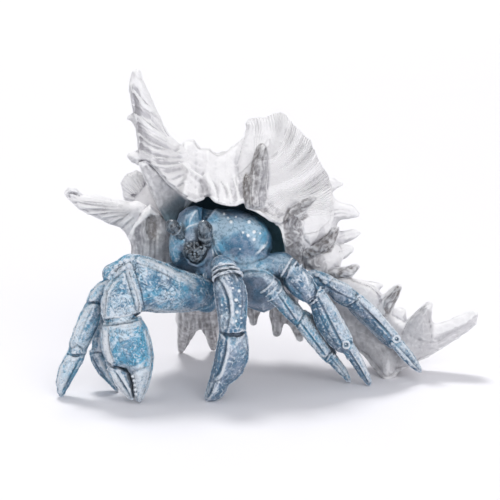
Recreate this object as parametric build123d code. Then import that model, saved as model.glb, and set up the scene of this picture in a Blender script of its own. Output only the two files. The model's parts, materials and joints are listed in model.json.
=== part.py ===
from build123d import *
import os

# ------------------------------------------------------------------------------------------------
# Hermit crab in a spiny shell: a painted cast-resin ornament, moulded as separate castings that are
# pinned with steel dowels or own pegs and glued.  Millimetres, +Z up, standing on Z = 0.
# The tables below are drawn about a working centre, and every solid is moved so that the middle of the
# bounding box's underside is the origin.
# ------------------------------------------------------------------------------------------------

# ---- driving dimensions -------------------------------------------------------------------------
CENTRE_X = 15.3          # working centre to origin
CENTRE_Y = 32.2
DOWEL_D = 4.0            # steel dowels, all alike
DOWEL_L = 24.0
DOWEL_FIT = 0.05         # glue gap all round a dowel
DOWEL_END = 0.5          # free room at each end of a dowel
SPIGOT_D = 16.0          # body spigot in the back wall of the aperture
SPIGOT_FIT = 0.2
SPIGOT_X, SPIGOT_Z = -8.0, 89.0
SPIGOT_Y0, SPIGOT_Y1 = 22.0, 67.0
SOCKET_Y0, SOCKET_Y1 = 44.0, 68.0
PEG_D = 3.0              # own pegs of eyes, mouth and claw finger
PEG_L = 6.0
PEG_FIT = 0.1
FLAT = 0.82              # limbs are this much thinner front to back than they are wide
FROND_FLAT = 0.7
STUB_L = 9.0             # straight part of each leg stub on the body
FOOT_R = 5.0             # flat ground spot under the shell
FOOT_XY = (86.0, 24.3)

# ---- shell: x, y, z, radius ---------------------------------------------------------------------
BODY = (7.6, 52.0, 94.0, 47.0)
FAN = (19.3, 44.0, 126.8, 33.0)
SADDLE = (-17.3, 34.0, 116.9, 20.0)
LEFT_WALL = (-51.0, 36.0, 77.7, 22.0)
REAR_LOBE = (-28.8, 64.0, 59.7, 26.0)
SHOULDER = (-38.0, 40.0, 108.0, 18.5)      # swelling that carries the three long fronds
APEX = (-64.7, 66.0, 127.8, 5.0)
SPIRE_R = 38.0
CANAL = [(47.5, 53.0, 68.2, 30.0), (66.5, 50.0, 45.6, 24.0), (84.2, 46.0, 27.0, 19.0), (101.1, 42.0, 20.2, 13.0),
         (116.7, 41.0, 21.7, 10.0), (131.0, 40.0, 27.1, 7.5), (143.0, 39.0, 34.6, 4.6)]
LIP = [(-57.2, 9.0, 120.4, 5.5), (-43.1, 5.0, 120.9, 6.5), (-24.0, 4.0, 117.4, 6.5), (-4.2, 4.0, 117.4, 6.5),
       (9.6, 6.0, 109.9, 6.5), (19.3, 10.0, 97.0, 6.0)]
CAVITY = [(-12.3, 22.0, 87.6, 34.0), (-20.0, 4.0, 68.0, 23.0), (19.0, 0.0, 75.0, 18.0)]
SPINES = [
    # lip prongs
    [(4.2, 6.0, 114.7, 6.5), (5.4, 2.0, 130.4, 5.0), (6.5, 0.0, 147.4, 2.4)],
    [(23.6, 12.0, 97.9, 7.0), (30.0, 6.0, 111.1, 5.0), (36.5, 2.0, 115.9, 2.4)],
    [(40.4, 20.0, 84.3, 8.0), (47.4, 13.0, 91.0, 5.0), (52.0, 9.0, 97.2, 2.4)],
    [(49.6, 30.0, 67.4, 8.0), (58.5, 23.0, 68.7, 4.8), (65.0, 20.0, 71.5, 2.4)],
    # shoulder and canal spines
    [(45.4, 58.0, 116.7, 6.0), (57.0, 62.0, 117.1, 2.0)],
    [(47.5, 46.0, 101.3, 8.0), (59.2, 43.0, 102.4, 4.6), (66.0, 41.0, 101.5, 2.4)],
    [(50.4, 50.0, 84.2, 7.0), (62.8, 48.0, 87.0, 3.2), (68.5, 48.0, 88.6, 1.2)],
    [(48.8, 42.0, 76.0, 8.0), (62.9, 38.0, 78.6, 3.0)],
    [(67.0, 48.0, 51.2, 9.0), (76.9, 46.0, 54.8, 4.0), (81.9, 46.0, 54.8, 2.0)],
    [(82.4, 40.0, 37.4, 9.0), (88.8, 36.0, 48.5, 4.5), (92.8, 34.0, 55.9, 2.2)],
    [(101.9, 39.0, 25.4, 10.0), (108.8, 35.0, 39.1, 5.0), (112.3, 33.0, 45.3, 2.4)],
    [(92.4, 46.0, 32.2, 5.0), (96.1, 46.0, 37.4, 2.0)],
    # underside; the first two reach the ground
    [(-35.0, 66.0, 48.0, 10.0), (-38.0, 72.0, 31.0, 8.5), (-45.7, 90.0, 0.6, 2.2)],
    [(-26.0, 68.0, 48.0, 10.0), (-26.5, 76.0, 31.0, 8.5), (-24.6, 95.5, 0.6, 2.2)],
    [(0.6, 60.0, 58.0, 7.0), (0.6, 64.0, 26.0, 2.4)],
    [(18.6, 60.0, 58.0, 8.0), (17.4, 64.0, 17.5, 2.8)],
    [(34.6, 58.0, 58.0, 8.5), (33.5, 62.0, 16.0, 2.8)],
    # back varices
    [(25.6, 74.0, 122.0, 9.0), (35.5, 86.0, 137.4, 2.4)],
    [(11.6, 82.0, 120.0, 9.0), (13.8, 98.5, 134.3, 2.4)],
    [(-2.4, 86.0, 112.4, 9.0), (-7.9, 104.7, 122.5, 2.4)],
    [(27.6, 82.0, 76.8, 9.0), (38.6, 98.5, 67.3, 2.4)],
    [(13.6, 87.2, 76.0, 9.0), (16.9, 106.6, 66.1, 2.4)],
    [(75.0, 64.0, 49.0, 9.0), (83.0, 78.0, 52.5, 2.4)],
    [(91.0, 58.0, 28.5, 8.0), (97.0, 69.0, 30.0, 2.2)],
]

# ---- long fronds of the shell (first point is the boss on the shell, second the joint face) -----
TALL_FROND = [(-40.0, 30.0, 116.0, 17.0), (-51.6, 22.0, 141.8, 13.0), (-55.7, 20.0, 149.4, 11.5),
              (-61.4, 17.0, 161.8, 8.5), (-64.8, 15.0, 171.6, 6.0), (-67.5, 13.0, 184.9, 4.2), (-68.4, 13.0, 193.2, 2.4)]
SIDE_FROND = [(-50.0, 32.0, 103.0, 14.0), (-67.2, 21.0, 103.9, 10.5), (-75.9, 16.0, 104.7, 8.0),
              (-87.7, 12.0, 109.0, 6.6), (-98.8, 9.0, 113.1, 6.0), (-110.6, 6.6, 118.6, 3.4)]
REAR_FROND = [(-50.0, 52.0, 98.0, 12.0), (-64.0, 50.0, 109.6, 9.0), (-70.0, 48.0, 114.9, 8.5), (-74.2, 46.0, 120.2, 7.0)]

# ---- crab body ----------------------------------------------------------------------------------
DOME = (-6.1, 13.0, 89.8, 18.0)
HEAD = (-33.0, 1.0, 86.3, 13.0)
PLATE = (-36.1, 6.0, 97.7, 11.0)
BELLY = (-18.2, 7.0, 65.6, 12.0)
NECK = (-19.5, 7.5, 82.0, 15.0)
EYE_L = [(-39.3, -6.0, 94.2, 2.6), (-46.3, -9.0, 101.3, 4.2)]
EYE_R = [(-26.4, -8.0, 91.0, 3.4), (-26.6, -13.0, 100.0, 3.9)]
MOUTH_AT = (-32.5, -8.0, 81.0)
MOUTH_R = 6.8
MOUTH_DEEP = 6.5

# ---- limbs: x, y, z, radius; the first point is the joint face on the body ----------------------
CLAW_ARM = [(-28.8, -4.0, 61.0, 10.2), (-38.8, -8.0, 62.4, 12.0), (-48.8, -12.0, 64.5, 12.6), (-59.2, -17.0, 67.9, 12.0),
            (-66.0, -21.0, 68.7, 10.2), (-73.9, -26.0, 64.9, 9.0), (-76.3, -29.8, 55.5, 9.4)]
WRIST = (-75.5, -31.0, 48.9, 9.0)
PALM_END = (-70.7, -34.0, 22.2)
PALM = [(0.0, 9.0, 8.6), (0.26, 12.4, 9.8), (0.58, 14.2, 10.6), (1.0, 13.0, 9.2)]     # place along, half width, half thickness
FIXED_FINGER = [(-64.3, -34.7, 15.0, 5.4), (-63.9, -35.0, 8.6, 4.2), (-65.2, -35.5, 0.2, 1.5)]
FINGER_ROOT = (-77.3, -33.6, 20.7, 4.6)
FINGER = [(-76.2, -34.4, 13.6, 4.0), (-73.4, -35.2, 6.6, 2.8), (-70.6, -35.5, 2.2, 1.2)]
FRONT_CLAW = [(-17.2, -14.0, 77.5, 7.2), (-13.5, -27.0, 76.4, 9.0), (-11.7, -32.0, 61.3, 9.6), (-10.5, -33.0, 43.6, 9.0),
              (-10.6, -33.0, 30.4, 10.2), (-12.9, -32.0, 18.1, 9.0), (-19.5, -31.0, 8.1, 5.4), (-25.0, -30.2, 0.8, 2.6)]
LEFT_OUTER = [(-51.4, 7.0, 70.6, 5.4), (-72.0, 0.0, 76.8, 6.0), (-84.7, -9.0, 70.5, 6.6), (-93.4, -13.0, 61.0, 6.0),
              (-97.5, -15.5, 50.6, 6.6), (-101.1, -17.0, 38.8, 7.8), (-104.8, -18.0, 28.0, 6.6), (-110.2, -19.5, 14.9, 4.8),
              (-113.3, -21.0, 0.2, 1.5)]
LEFT_INNER = [(-47.6, 12.0, 58.4, 5.4), (-75.8, 6.0, 58.4, 5.4), (-88.8, 1.0, 49.5, 5.4), (-93.0, -2.0, 36.6, 5.4),
              (-94.2, -4.0, 25.9, 4.8), (-88.7, -7.0, 12.4, 4.2), (-80.2, -9.4, 0.4, 1.5)]
RIGHT_FRONT = [(12.0, -8.0, 63.0, 6.6), (21.6, -5.0, 53.3, 6.6), (30.2, -1.0, 41.3, 5.7), (39.5, 3.0, 29.9, 5.7),
               (48.8, 6.0, 18.5, 4.5), (55.7, 8.0, 10.5, 3.6), (61.8, 10.0, 2.7, 1.2)]
RIGHT_MIDDLE = [(23.9, -7.0, 73.2, 6.6), (31.6, -9.0, 68.7, 8.4), (41.3, -8.0, 60.6, 7.2), (48.8, -4.0, 44.4, 7.2),
                (57.6, 0.0, 26.8, 6.0), (65.2, 2.5, 13.1, 4.2), (73.1, 4.7, 0.2, 1.2)]
RIGHT_REAR = [(43.7, 9.0, 65.2, 6.0), (55.3, 9.0, 58.4, 7.2), (65.2, 10.0, 51.4, 6.0), (77.7, 12.0, 38.4, 6.9),
              (90.3, 14.0, 26.1, 5.7), (98.1, 16.0, 15.5, 4.2), (105.8, 18.0, 5.8, 1.5)]
# where each leg stub springs from, inside the body
STUB_FROM = {
    "claw_arm": BELLY, "front_claw": (-22.0, 3.0, 78.0, 9.0), "left_outer_leg": (-25.0, 12.0, 71.0, 7.0),
    "left_inner_leg": (-24.0, 12.0, 64.0, 6.5), "right_front_leg": (-9.0, 4.0, 70.0, 10.0),
    "right_middle_leg": (-2.0, 6.0, 78.0, 10.0), "right_rear_leg": (4.0, 6.0, 77.0, 8.0),
}


# ---- helpers ------------------------------------------------------------------------------------
def vec(p):
    return Vector(p[0], p[1], p[2])


def ball(p, r=None):
    return Pos(p[0], p[1], p[2]) * Sphere(p[3] if r is None else r)


def frustum(a, b, ra, rb):
    a, b = vec(a), vec(b)
    length = (b - a).length
    where = Plane(origin=a, z_dir=(b - a).normalized())
    if abs(ra - rb) < 1e-6:
        return where * Cylinder(ra, length, align=(Align.CENTER, Align.CENTER, Align.MIN))
    return where * Cone(ra, rb, length, align=(Align.CENTER, Align.CENTER, Align.MIN))


def along(p, d, t):
    v = vec(p) + d * t
    return (v.X, v.Y, v.Z)


def rod(p, d, t0, t1, r):
    return frustum(along(p, d, t0), along(p, d, t1), r, r)


def heading(points):
    return (vec(points[1]) - vec(points[0])).normalized()


def section(p, d, flat):
    """Ellipse across the limb at p: full width in the limb's own plane, thinner along Y."""
    deep = Vector(0, 1, 0) - d * d.Y
    if deep.length < 0.25:                      # the limb runs straight at the viewer: take the vertical instead
        deep = Vector(0, 0, 1) - d * d.Z
    wide = deep.normalized().cross(d)
    return Plane(origin=vec(p), x_dir=wide, z_dir=d) * Ellipse(p[3], p[3] * flat)


def limb(points, flat=FLAT, start=None, end=None):
    """Ruled skin through an ellipse at every point; start and end fix the directions of the end faces."""
    dirs = []
    for i in range(len(points)):
        a = vec(points[max(i - 1, 0)])
        b = vec(points[min(i + 1, len(points) - 1)])
        p = vec(points[i])
        if 0 < i < len(points) - 1:
            d = ((p - a).normalized() + (b - p).normalized()).normalized()
        else:
            d = (b - a).normalized()
        dirs.append(d)
    if start is not None:
        dirs[0] = start
    if end is not None:
        dirs[-1] = end
    return loft([section(p, d, flat) for p, d in zip(points, dirs)], ruled=True)


def fuse(solids):
    out = solids[0]
    for s in solids[1:]:
        out = out + s
    return out


half = DOWEL_L / 2
dowels = []


def dowel_at(p, d):
    """A dowel half in each piece; gives back the hole that both pieces get."""
    dowels.append(rod(p, d, -half, half, DOWEL_D / 2))
    return rod(p, d, -half - DOWEL_END, half + DOWEL_END, DOWEL_D / 2 + DOWEL_FIT)


ground = Pos(0, 0, -50) * Box(600, 600, 100)

# ---- limbs --------------------------------------------------------------------------------------
limb_tables = {
    "front_claw": FRONT_CLAW, "left_outer_leg": LEFT_OUTER, "left_inner_leg": LEFT_INNER, "right_front_leg": RIGHT_FRONT,
    "right_middle_leg": RIGHT_MIDDLE, "right_rear_leg": RIGHT_REAR,
}
parts = {}
holes_in_body = []
stubs = []


def stub(name, points):
    """Leg stub of the body, ending on the joint face."""
    d = heading(points)
    r = points[0][3]
    knee = along(points[0], d, -STUB_L) + (r,)
    stubs.append(limb([STUB_FROM[name], knee, points[0]], end=d))


for name, points in limb_tables.items():
    stub(name, points)
    hole = dowel_at(points[0], heading(points))
    holes_in_body.append(hole)
    parts[name] = limb(points, start=heading(points)) - hole - ground

# large claw: arm with wrist, hand with fixed finger, second finger cast apart
hand_axis = (vec(PALM_END) - vec(WRIST)).normalized()
stub("claw_arm", CLAW_ARM)
arm_hole = dowel_at(CLAW_ARM[0], heading(CLAW_ARM))
holes_in_body.append(arm_hole)
wrist_hole = dowel_at(WRIST, hand_axis)
parts["claw_arm"] = limb(CLAW_ARM + [WRIST], start=heading(CLAW_ARM), end=hand_axis) - arm_hole - wrist_hole

hand_length = (vec(PALM_END) - vec(WRIST)).length
sections = []
for t, half_width, half_thick in PALM:
    at = Plane(origin=vec(WRIST) + hand_axis * (t * hand_length), x_dir=Vector(0, 1, 0).cross(hand_axis), z_dir=hand_axis)
    sections.append(at * Ellipse(half_width, half_thick))
palm = loft(sections, ruled=True)
seat_t = (vec(FINGER_ROOT) - vec(PALM_END)).dot(hand_axis)
finger_seat = along(FINGER_ROOT, hand_axis, -seat_t) + (FINGER_ROOT[3],)        # on the palm's end face
fixed_t = (vec(FIXED_FINGER[0]) - vec(PALM_END)).dot(hand_axis)
fixed_root = along(FIXED_FINGER[0], hand_axis, -fixed_t - 4.0) + (FIXED_FINGER[0][3],)
hand = palm + limb([fixed_root] + FIXED_FINGER, start=hand_axis)
finger_hole = rod(finger_seat, hand_axis, -PEG_L - 0.3, 0.0, PEG_D / 2 + PEG_FIT)
parts["claw_hand"] = hand - wrist_hole - finger_hole - ground
parts["claw_finger"] = limb([finger_seat] + FINGER, start=hand_axis) + rod(finger_seat, hand_axis, -PEG_L, 1.0, PEG_D / 2)

# ---- crab body ----------------------------------------------------------------------------------
body = fuse([ball(DOME), ball(HEAD), ball(PLATE), ball(BELLY), ball(NECK)] + stubs)
body = body + frustum((SPIGOT_X, SPIGOT_Y0, SPIGOT_Z), (SPIGOT_X, SPIGOT_Y1, SPIGOT_Z), SPIGOT_D / 2, SPIGOT_D / 2)
for hole in holes_in_body:
    body = body - hole
for name, eye in (("left_eyestalk", EYE_L), ("right_eyestalk", EYE_R)):
    u = heading(eye)
    body = body - rod(eye[0], u, 0.0, 14.0, eye[0][3] + 2.2) - rod(eye[0], u, -PEG_L - 0.3, 0.0, PEG_D / 2 + PEG_FIT)
    parts[name] = fuse([frustum(eye[0], eye[1], eye[0][3], eye[1][3] * 0.8), ball(eye[1]), rod(eye[0], u, -PEG_L, 1.0, PEG_D / 2)])
out_of_face = Vector(0, -1, -0.1).normalized()
body = body - rod(MOUTH_AT, out_of_face, 0.0, 16.0, MOUTH_R + 0.3) - rod(MOUTH_AT, out_of_face, -PEG_L - 0.3, 0.0, PEG_D / 2 + PEG_FIT)
parts["mouthparts"] = fuse([
    frustum(MOUTH_AT, along(MOUTH_AT, out_of_face, MOUTH_DEEP), MOUTH_R, MOUTH_R * 0.72),
    rod(MOUTH_AT, out_of_face, -PEG_L, 1.0, PEG_D / 2),
])
parts["crab_body"] = body

# ---- shell and its fronds -----------------------------------------------------------------------
shell = fuse([ball(BODY), ball(FAN), ball(SADDLE), ball(LEFT_WALL), ball(REAR_LOBE), ball(SHOULDER),
              frustum(BODY, APEX, SPIRE_R, APEX[3]), limb(CANAL, flat=0.95)])
for cave in CAVITY:
    shell = shell - ball(cave)
shell = shell + limb(LIP, flat=0.8)
for spine in SPINES:
    shell = shell + limb(spine, flat=0.9)
foot = frustum((FOOT_XY[0] + 0.8, FOOT_XY[1] - 6.6, -7.5), (83.9, 42.0, 20.0), FOOT_R * 0.4, 13.0)
shell = shell + foot - ground
for name, points in (("tall_frond", TALL_FROND), ("side_frond", SIDE_FROND), ("rear_frond", REAR_FROND)):
    face = points[1:]
    d = heading(face)
    shell = shell + limb(points[:2], flat=FROND_FLAT, start=d, end=d)
    hole = dowel_at(face[0], d)
    parts[name] = limb(face, flat=FROND_FLAT, start=d) - hole
    shell = shell - hole
shell = shell - frustum((SPIGOT_X, SOCKET_Y0, SPIGOT_Z), (SPIGOT_X, SOCKET_Y1, SPIGOT_Z), SPIGOT_D / 2 + SPIGOT_FIT / 2, SPIGOT_D / 2 + SPIGOT_FIT / 2)
parts["shell"] = shell

# ---- write the pieces ---------------------------------------------------------------------------
os.makedirs("parts", exist_ok=True)
move = Pos(-CENTRE_X, -CENTRE_Y, 0)
low, high = [1e9] * 3, [-1e9] * 3
for name, shape in parts.items():
    solids = shape.solids()
    placed = move * (Compound(children=solids) if len(solids) > 1 else solids[0])
    box = placed.bounding_box()
    low = [min(a, b) for a, b in zip(low, box.min)]
    high = [max(a, b) for a, b in zip(high, box.max)]
    print(name, "solids", len(solids), "volume", round(sum(s.volume for s in solids)))
    export_step(placed, "parts/%s.step" % name)
export_step(move * Compound(children=dowels), "parts/steel_dowels.step")
print("box", [round(v, 2) for v in low], [round(v, 2) for v in high], "dowels", len(dowels))
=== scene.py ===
import json
import math
import bpy
import numpy as np
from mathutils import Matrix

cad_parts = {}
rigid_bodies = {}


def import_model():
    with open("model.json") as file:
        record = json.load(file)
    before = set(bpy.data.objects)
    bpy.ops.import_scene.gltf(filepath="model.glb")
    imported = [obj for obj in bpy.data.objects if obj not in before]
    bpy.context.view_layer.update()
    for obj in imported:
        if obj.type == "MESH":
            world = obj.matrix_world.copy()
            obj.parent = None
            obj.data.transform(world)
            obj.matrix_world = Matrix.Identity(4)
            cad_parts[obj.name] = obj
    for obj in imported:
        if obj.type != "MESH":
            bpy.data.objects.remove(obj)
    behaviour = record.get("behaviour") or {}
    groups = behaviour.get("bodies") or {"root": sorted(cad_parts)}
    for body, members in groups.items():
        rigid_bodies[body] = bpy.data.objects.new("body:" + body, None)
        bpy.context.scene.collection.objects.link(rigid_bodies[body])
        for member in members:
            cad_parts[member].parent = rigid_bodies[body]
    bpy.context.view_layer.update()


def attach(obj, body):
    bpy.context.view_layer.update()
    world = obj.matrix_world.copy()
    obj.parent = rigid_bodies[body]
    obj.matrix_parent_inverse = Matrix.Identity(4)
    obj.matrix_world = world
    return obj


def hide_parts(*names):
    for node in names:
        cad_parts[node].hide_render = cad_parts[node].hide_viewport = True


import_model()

FINE = 1.0          # coarser grids while iterating

# ------------------------------------------------------------------------------------------------
# Working frame: millimetres, X right, Y away from the viewer, Z up, floor at Z = 0.  It is the part's
# frame moved by SHIFT.  place() turns a point of the view and a depth into that frame.
# ------------------------------------------------------------------------------------------------
SHIFT = np.array([-15.3, -32.2, 0.0])
ELEV = math.radians(10.0)
SE, CE = math.sin(ELEV), math.cos(ELEV)
DIST, FOCAL, AIM_Z = 1000.0, 1666.67, 85.3
PX = 0.6                               # about this many millimetres to a pixel of the view


def project(X, Y, Z):
    d = DIST + Y * CE - (Z - AIM_Z) * SE
    return 250.0 + FOCAL * X / d, 250.0 - FOCAL * (Y * SE + (Z - AIM_Z) * CE) / d


def place(px, py, Y):
    k = (250.0 - py) / FOCAL
    z = (k * (DIST + Y * CE) - Y * SE) / (CE + k * SE)
    d = DIST + Y * CE - z * SE
    return np.array([(px - 250.0) * d / FOCAL, Y, z + AIM_Z])


# ------------------------------------------------------------------------------------------------
# Seeded lattice noise
# ------------------------------------------------------------------------------------------------
_rng = np.random.RandomState(7)
_LAT = _rng.rand(32, 32, 32).astype(np.float32) * 2.0 - 1.0


def noise(P, size, seed=0):
    q = P / size + np.array([seed * 7.31, seed * 3.77, seed * 5.13])
    i = np.floor(q).astype(int)
    f = q - i
    f = f * f * (3.0 - 2.0 * f)
    i0, i1 = i % 32, (i + 1) % 32
    out = 0.0
    for a in (0, 1):
        ia = i1[:, 0] if a else i0[:, 0]
        wa = f[:, 0] if a else 1.0 - f[:, 0]
        for b in (0, 1):
            ib = i1[:, 1] if b else i0[:, 1]
            wb = f[:, 1] if b else 1.0 - f[:, 1]
            for c in (0, 1):
                ic = i1[:, 2] if c else i0[:, 2]
                wc = f[:, 2] if c else 1.0 - f[:, 2]
                out = out + _LAT[ia, ib, ic] * wa * wb * wc
    return out


def fbm(P, size, octaves=3, seed=0):
    out, amp, total = 0.0, 1.0, 0.0
    for o in range(octaves):
        out = out + amp * noise(P, size / 2 ** o, seed + o)
        total += amp
        amp *= 0.5
    return out / total


def smooth01(x):
    x = np.clip(x, 0.0, 1.0)
    return x * x * (3.0 - 2.0 * x)


def crumple(P, size, seed=0):
    """Sharp raised veins, 0 to 1, as on a casting with a wrinkled skin."""
    return np.clip(1.0 - 2.2 * np.abs(fbm(P, size, 2, seed)), 0.0, 1.0) ** 2


# ------------------------------------------------------------------------------------------------
# Distance fields on a grid
# ------------------------------------------------------------------------------------------------
def polygon_distance(px, py, poly):
    """Signed distance in view pixels to a closed outline, negative inside."""
    poly = np.asarray(poly, float)
    best = np.full(px.shape, 1e9, np.float32)
    inside = np.zeros(px.shape, bool)
    n = len(poly)
    for i in range(n):
        ax, ay = poly[i]
        bx, by = poly[(i + 1) % n]
        ex, ey = bx - ax, by - ay
        wx, wy = px - ax, py - ay
        t = np.clip((wx * ex + wy * ey) / (ex * ex + ey * ey), 0.0, 1.0)
        dx, dy = wx - ex * t, wy - ey * t
        best = np.minimum(best, dx * dx + dy * dy)
        crosses = (ay > py) != (by > py)
        with np.errstate(divide="ignore", invalid="ignore"):
            at = ax + (py - ay) * ex / ey if ey != 0 else np.inf
        inside ^= crosses & (px < at)
    d = np.sqrt(best)
    return np.where(inside, -d, d)


def line_distance(px, py, pts):
    """Distance in view pixels to an open line, and the place along it, 0 to 1."""
    pts = np.asarray(pts, float)
    seg = np.hypot(*(pts[1:] - pts[:-1]).T)
    run = np.concatenate([[0.0], np.cumsum(seg)])
    best = np.full(px.shape, 1e9)
    along = np.zeros(px.shape)
    for i in range(len(pts) - 1):
        (ax, ay), (bx, by) = pts[i], pts[i + 1]
        ex, ey = bx - ax, by - ay
        wx, wy = px - ax, py - ay
        t = np.clip((wx * ex + wy * ey) / max(ex * ex + ey * ey, 1e-9), 0.0, 1.0)
        d = np.hypot(wx - ex * t, wy - ey * t)
        hit = d < best
        best = np.where(hit, d, best)
        along = np.where(hit, (run[i] + t * seg[i]) / run[-1], along)
    return best, along


def line_frame(px, py, pts):
    """As line_distance, with the distance signed: plus on the right of the way along it, as seen in the view."""
    pts = np.asarray(pts, float)
    d, t = line_distance(px, py, pts)
    best, sign = np.full(px.shape, 1e9), np.ones(px.shape)
    for (ax, ay), (bx, by) in zip(pts[:-1], pts[1:]):
        ex, ey = bx - ax, by - ay
        u = np.clip(((px - ax) * ex + (py - ay) * ey) / max(ex * ex + ey * ey, 1e-9), 0.0, 1.0)
        q = np.hypot(px - ax - ex * u, py - ay - ey * u)
        hit = q < best
        best = np.where(hit, q, best)
        sign = np.where(hit, np.sign(ex * (py - ay) - ey * (px - ax)), sign)
    return d * sign, t


def surface_fit(points):
    """A depth given at a few places of the view: plane or quadric through them."""
    pts = np.asarray(points, float)

    def basis(x, y):
        x, y = (x - 250.0) / 100.0, (y - 250.0) / 100.0
        rows = [np.ones_like(x), x, y]
        if len(pts) >= 6:
            rows += [x * x, x * y, y * y]
        return rows

    A = np.stack(basis(pts[:, 0], pts[:, 1]), 1)
    c = np.linalg.lstsq(A, pts[:, 2], rcond=None)[0]
    return lambda x, y: sum(ci * b for ci, b in zip(c, basis(x, y)))


class Field:
    def __init__(self, lo, hi, h):
        self.lo, self.h = np.asarray(lo, float), h
        self.n = np.ceil((np.asarray(hi, float) - self.lo) / h).astype(int) + 1
        self.D = np.full(self.n, 40.0, np.float32)

    def part(self, lo, hi, margin=10.0):
        i0 = np.clip(np.floor((np.asarray(lo) - margin - self.lo) / self.h).astype(int), 0, self.n - 1)
        i1 = np.clip(np.ceil((np.asarray(hi) + margin - self.lo) / self.h).astype(int) + 1, 1, self.n)
        ax = [(self.lo[k] + self.h * np.arange(i0[k], i1[k])).astype(np.float32) for k in range(3)]
        box = tuple(slice(a, b) for a, b in zip(i0, i1))
        return box, ax[0][:, None, None], ax[1][None, :, None], ax[2][None, None, :]

    def join(self, box, d, k):
        a = self.D[box]
        if k > 0:
            h = np.maximum(k - np.abs(a - d), 0.0) / k
            self.D[box] = np.minimum(a, d) - h * h * k * 0.25
        else:
            self.D[box] = np.minimum(a, d)

    def remove(self, box, d, k):
        a = self.D[box]
        d = -d
        if k > 0:
            h = np.maximum(k - np.abs(a - d), 0.0) / k
            self.D[box] = np.maximum(a, d) + h * h * k * 0.25
        else:
            self.D[box] = np.maximum(a, d)

    # -- shapes ------------------------------------------------------------------------------------
    def ellipsoid(self, c, radii, k=3.0, cut=False, axes=None):
        c, r = np.asarray(c, float), np.asarray(radii, float)
        R = max(r)
        box, X, Y, Z = self.part(c - R, c + R)
        x, y, z = X - c[0], Y - c[1], Z - c[2]
        if axes is not None:
            A = np.asarray(axes, float)
            A = A / np.linalg.norm(A, axis=1)[:, None]
            x, y, z = (A[i][0] * x + A[i][1] * y + A[i][2] * z for i in range(3))
        k0 = np.sqrt((x / r[0]) ** 2 + (y / r[1]) ** 2 + (z / r[2]) ** 2)
        k1 = np.sqrt((x / r[0] ** 2) ** 2 + (y / r[1] ** 2) ** 2 + (z / r[2] ** 2) ** 2)
        d = k0 * (k0 - 1.0) / np.maximum(k1, 1e-6)
        (self.remove if cut else self.join)(box, d, k)

    def chain(self, pts, k=2.0, cut=False, flat=None, soft=0.0):
        """Tapered rods through points (x, y, z, r); flat = (direction, factor) thins the section."""
        pts = np.asarray(pts, float)
        R = pts[:, 3].max()
        box, X, Y, Z = self.part(pts[:, :3].min(0) - R, pts[:, :3].max(0) + R)
        out = None
        for a, b in zip(pts[:-1], pts[1:]):
            v = b[:3] - a[:3]
            vv = max(v @ v, 1e-9)
            x, y, z = X - a[0], Y - a[1], Z - a[2]
            t = np.clip((x * v[0] + y * v[1] + z * v[2]) / vv, 0.0, 1.0)
            x, y, z = x - v[0] * t, y - v[1] * t, z - v[2] * t
            if flat is not None:
                n, f = np.asarray(flat[0], float), flat[1]
                n = n / np.linalg.norm(n)
                s = (x * n[0] + y * n[1] + z * n[2]) * (1.0 / f - 1.0)
                x, y, z = x + n[0] * s, y + n[1] * s, z + n[2] * s
            d = np.sqrt(x * x + y * y + z * z) - (a[3] + (b[3] - a[3]) * t)
            if out is None:
                out = d
            elif soft > 0:
                h = np.maximum(soft - np.abs(out - d), 0.0) / soft
                out = np.minimum(out, d) - h * h * soft * 0.25
            else:
                out = np.minimum(out, d)
        (self.remove if cut else self.join)(box, out, k)

    def ring(self, c, axis, R, r, k=0.5, squash=1.0):
        c, a = np.asarray(c, float), np.asarray(axis, float)
        a = a / np.linalg.norm(a)
        box, X, Y, Z = self.part(c - R - r, c + R + r, 4.0)
        x, y, z = X - c[0], Y - c[1], Z - c[2]
        s = x * a[0] + y * a[1] + z * a[2]
        x, y, z = x - a[0] * s, y - a[1] * s, z - a[2] * s
        q = np.sqrt(x * x + (y / squash) ** 2 + z * z) - R
        self.join(box, np.sqrt(q * q + s * s) - r, k)

    def relief(self, poly, depth, thick, rim, edge=1.0, k=2.0, cut=False, shape=None):
        """Pillow with an outline drawn in the view.  depth: mid depth (number, or points px, py, Y);
        thick: half thickness in the middle; rim: how far in from the outline it is reached."""
        poly = np.asarray(poly, float)
        fit = depth if callable(depth) else (lambda x, y: depth + 0.0 * x) if np.isscalar(depth) else surface_fit(depth)
        mids = fit(poly[:, 0], poly[:, 1])
        y0, y1 = mids.min() - thick - edge, mids.max() + thick + edge
        corners = np.array([place(x, y, yy) for x, y in poly for yy in (y0, y1)])
        box, X, Y, Z = self.part(corners.min(0), corners.max(0))
        px, py = project(X, Y, Z)
        d2 = polygon_distance(px, py, poly) * PX
        t = np.clip(-(d2 + edge) / rim, 0.0, 1.0)
        T = thick * np.sqrt(np.maximum(1.0 - (1.0 - t) ** 2, 0.0))
        if shape is not None:
            T = T * shape(px, py)
        a = d2 + edge
        b = np.abs(Y - fit(px, py)) - T
        b = b * 0.8
        d = np.sqrt(np.maximum(a, 0.0) ** 2 + np.maximum(b, 0.0) ** 2) + np.minimum(np.maximum(a, b), 0.0) - edge
        (self.remove if cut else self.join)(box, d.astype(np.float32), k)

    def clip(self, lo, hi, inside=True):
        """Keeps only what lies in a box, or only what lies outside it."""
        lo, hi = np.asarray(lo, float), np.asarray(hi, float)
        ax = [self.lo[k] + self.h * np.arange(self.n[k]) for k in range(3)]
        g = [np.abs(ax[k] - (lo[k] + hi[k]) / 2) - (hi[k] - lo[k]) / 2 for k in range(3)]
        d = np.maximum(np.maximum(g[0][:, None, None], g[1][None, :, None]), g[2][None, None, :]).astype(np.float32)
        self.D = np.maximum(self.D, d if inside else -d)

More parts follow.
